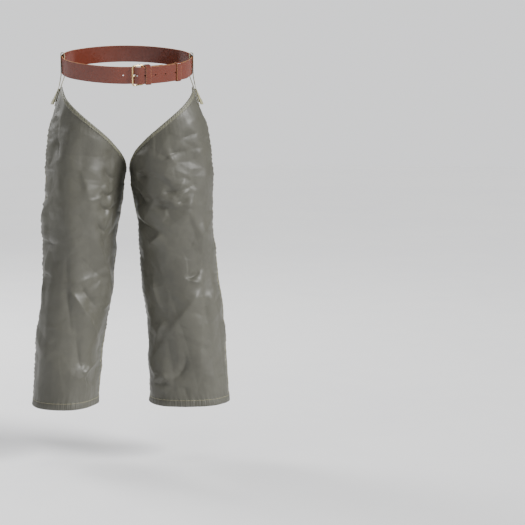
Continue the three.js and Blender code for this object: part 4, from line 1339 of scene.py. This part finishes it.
def buckle_parts():
    """Frame: a round bar carried round a rounded rectangle. Prong: a flattened bar that
    tapers to its tip, and the eye that holds it on the bar."""
    wide, high = frame_reach / 2, belt_height / 2 + frame_side_gap + bar_thickness / 2
    line, out = with_straights(*rounded_rectangle(wide, high, frame_corner_radius - 2, 9), 1.0)
    turn = np.linspace(0, 2 * PI, 13)[:-1]
    r = bar_thickness / 2 * 1.04
    bar = np.stack([line[:, None, 0] + r * np.cos(turn)[None] * out[:, None, 0],
                    np.broadcast_to(r * 0.95 * np.sin(turn)[None], (len(line), 12)),
                    line[:, None, 1] + r * np.cos(turn)[None] * out[:, None, 1]], -1)
    lean = -math.asin(frame_rise / frame_reach)
    c, s = math.cos(lean), math.sin(lean)

    def leaned(p):
        x = p[..., 0] - frame_reach / 2
        return np.stack([x * c - p[..., 1] * s, x * s + p[..., 1] * c, p[..., 2]], -1)

    def brass(name, rings, loop=True):
        return swept(name, onto_belt(rings, heel_bar_place, -fold_radius), buckle_brass, loop=loop)
    frame_piece = brass("brass_frame", leaned(bar))
    half = 1.4
    rise_at = frame_rise + bar_reach - 0.4 + half
    eye = 0.8 + bar_reach
    run = np.array([(-eye * 0.9, 0.6), (-10, 0.9), (-17, 1.4), (-23, rise_at * 0.62),
                    (-frame_reach + 4, rise_at - 0.4), (-31, rise_at + 0.1),
                    (-prong_reach, rise_at + 0.8)])
    places, along = even_stations(run, 1.0)
    for _ in range(2):
        places[1:-1] = (places[:-2] + 2 * places[1:-1] + places[2:]) / 4
    way = np.gradient(places, axis=0)
    way /= np.linalg.norm(way, axis=1, keepdims=True)
    up = np.stack([-way[:, 1], way[:, 0]], 1) * -1
    taper = 1 - 0.45 * rise(along, along[-1] - 9, along[-1])
    ring = [np.stack([*(places + up * (1.35 * taper * np.sin(a))[:, None]).T,
                      1.75 * taper * np.cos(a)], -1) for a in turn]
    shank = brass("prong_shank", np.stack(ring, 1), loop=False)
    around = np.linspace(0, 2 * PI, 33)[:-1]
    section = [(0, -1.75), (0.55, -1.6), (0.8, -1.1), (0.8, 1.1), (0.55, 1.6), (0, 1.75),
               (-0.6, 1.6), (-0.75, 1.1), (-0.75, -1.1), (-0.6, -1.6)]
    eye_rings = ring_along(lambda a, b: np.stack([
        (eye + a) * np.cos(around), (eye + a) * np.sin(around), b + 0 * around], -1), section)
    eye_piece = brass("prong_eye", eye_rings)
    placed(frame_piece, "belt", "buckle_brass", "buckle_frame")
    placed(shank, "prong", "buckle_brass", "buckle_prong")
    placed(eye_piece, "prong", "buckle_brass")


def keeper(name, place, inside, outside, stands_for, body):
    """A leather loop: a flat outline with raw edges carried round a rounded rectangle."""
    wide = (outside - inside) / 2 + keeper_clearance + keeper_wall / 2
    high = belt_height / 2 + keeper_clearance + keeper_wall / 2
    line, out = with_straights(*rounded_rectangle(wide, high, keeper_wall / 2 + 1.2, 7), 1.2)
    w, t = keeper_width / 2, keeper_wall / 2
    section = [(t, -w + 0.8), (t * 0.7, -w + 0.15), (0, -w), (-t * 0.7, -w + 0.15), (-t, -w + 0.8),
               (-t, w - 0.8), (-t * 0.7, w - 0.15), (0, w), (t * 0.7, w - 0.15), (t, w - 0.8),
               (t * 1.12, w * 0.5), (t * 1.15, 0), (t * 1.12, -w * 0.5)]
    rings = ring_along(lambda a, b: np.stack([np.full(len(line), b), *(line + a * out).T], -1),
                       section)
    rings[..., 1] += (inside + outside) / 2
    tone = np.broadcast_to([1.0 if abs(b) > w - 0.3 else 0.0 for _, b in section], rings.shape[:2])
    uv = flat_map(rings, np.arange(len(line)) * 1.2, [b for _, b in section])
    piece = swept(name, onto_belt(rings, place), belt_leather, loop=True, tone=tone, uv=uv)
    placed(piece, body, "belt_leather", stands_for)


def rivets():
    """Rivets through the fold: a profile of a low domed head, a shank and a flat washer,
    turned round the rivet's own axis."""
    profile = [(0.02, 3.1), (1.4, 3.0), (2.5, 2.6), (3.1, 2.05), (2.9, 1.9), (2.8, -6.5),
               (3.1, -6.7), (2.4, -7.1), (0.02, -7.2)]
    turn = np.linspace(0, 2 * PI, 21)[:-1]
    for name, height in (("upper", rivet_height), ("lower", -rivet_height)):
        rings = np.stack([np.stack([r * np.cos(turn), np.full(20, out),
                                    height + r * np.sin(turn)], -1) for r, out in profile])
        piece = swept(f"rivet_{name}", onto_belt(rings, rivet_place), buckle_brass)
        placed(piece, "belt", "buckle_brass", f"fold_rivet_{name}")


leather_strap()
buckle_parts()
near_edge = fixed_keeper_place - keeper_width / 2 - heel_bar_place
keeper("fixed_loop", fixed_keeper_place, float(tail_offset(near_edge)) - 2, layer_step + 2,
       "fixed_keeper", "belt")
keeper("sliding_loop", sliding_keeper_place, -2, layer_step + 2, "sliding_keeper", "keeper")
rivets()


# ---- room, light and camera ---------------------------------------------------------------
floor_radius, floor_height = 16000, -1082.0


def room():
    """A wide flat pale floor: a disc of rings whose radius grows as a square."""
    turn = np.linspace(0, 2 * PI, 65)[:-1]
    far = floor_radius * np.linspace(0.01, 1, 12)[:, None] ** 2
    points = np.stack([far * np.cos(turn), far * np.sin(turn), np.full((12, 64), floor_height)], -1)
    faces = [list(f)[::-1] for f in grid_faces(12, 64, round_columns=True)] + [list(range(64))]
    material, tree, shader = finish_of("pale_floor", Roughness=0.85)
    tone = drift(tree, object_place(tree), (0.92, 0.92, 0.92, 1), (0.89, 0.89, 0.90, 1), 0.6, 1.0)
    feed(tree, shader, Base_Color=tone.outputs["Color"])
    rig.stage(put("floor", points, faces, material))


def lamp(name, place, aim, size, power):
    """A soft square light at a place in metres, turned towards a point."""
    light = bpy.data.lights.new(name, "AREA")
    light.shape, light.size, light.energy = "SQUARE", size, power
    holder = bpy.data.objects.new(name, light)
    holder.location = place
    holder.rotation_euler = (Vector(aim) - Vector(place)).to_track_quat("-Z", "Y").to_euler()
    bpy.context.scene.collection.objects.link(holder)


def far_lamp(name, way, spread, strength):
    """A far soft light that shines along a way, spread over an angle in degrees."""
    light = bpy.data.lights.new(name, "SUN")
    light.angle, light.energy = math.radians(spread), strength
    holder = bpy.data.objects.new(name, light)
    holder.rotation_euler = Vector(way).to_track_quat("-Z", "Y").to_euler()
    bpy.context.scene.collection.objects.link(holder)


room()
far_lamp("key", (-2.9, 1.7, -1.9), 24, 5.6)
far_lamp("top", (0.1, -0.1, -1), 70, 1.1)
lamp("front", (0.0, -3.7, 1.5), (0, 0, -0.4), 1.2, 20)
lamp("side", (-2.4, -1.6, 0.5), (0, 0, -0.2), 0.5, 8)
lamp("rear", (-2.6, 2.4, 1.6), (0, 0, -0.45), 1.6, 120)
world = bpy.data.worlds.new("studio")
world.use_nodes = True
sky = world.node_tree
around_light = sky.nodes["Background"]
around_light.inputs["Color"].default_value = (0.95, 0.97, 1.0, 1)
around_light.inputs["Strength"].default_value = 0.13
behind = node(sky, "ShaderNodeBackground", Color=(0.98, 0.985, 1.0, 1), Strength=1.2)
seen = sky.nodes.new("ShaderNodeLightPath").outputs["Is Camera Ray"]
either = node(sky, "ShaderNodeMixShader", i0=seen, i1=around_light.outputs[0], i2=behind.outputs[0])
sky.links.new(either.outputs[0], sky.nodes["World Output"].inputs["Surface"])
bpy.context.scene.world = world

lens = bpy.data.cameras.new("camera")
lens.lens, lens.sensor_width = 101, 36
lens.clip_end = 50
camera = bpy.data.objects.new("camera", lens)
camera.location = (0, -4.0, -0.07)
camera.rotation_euler = (math.radians(90 - 6.66), 0, math.radians(-5.2))
bpy.context.scene.collection.objects.link(camera)
bpy.context.scene.camera = camera

with open("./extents.json", "w") as sizes:
    boxes = {"frame": frame_box, "shown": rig.bounds()}
    json.dump({name: [list(v) for v in box] for name, box in boxes.items()}, sizes)
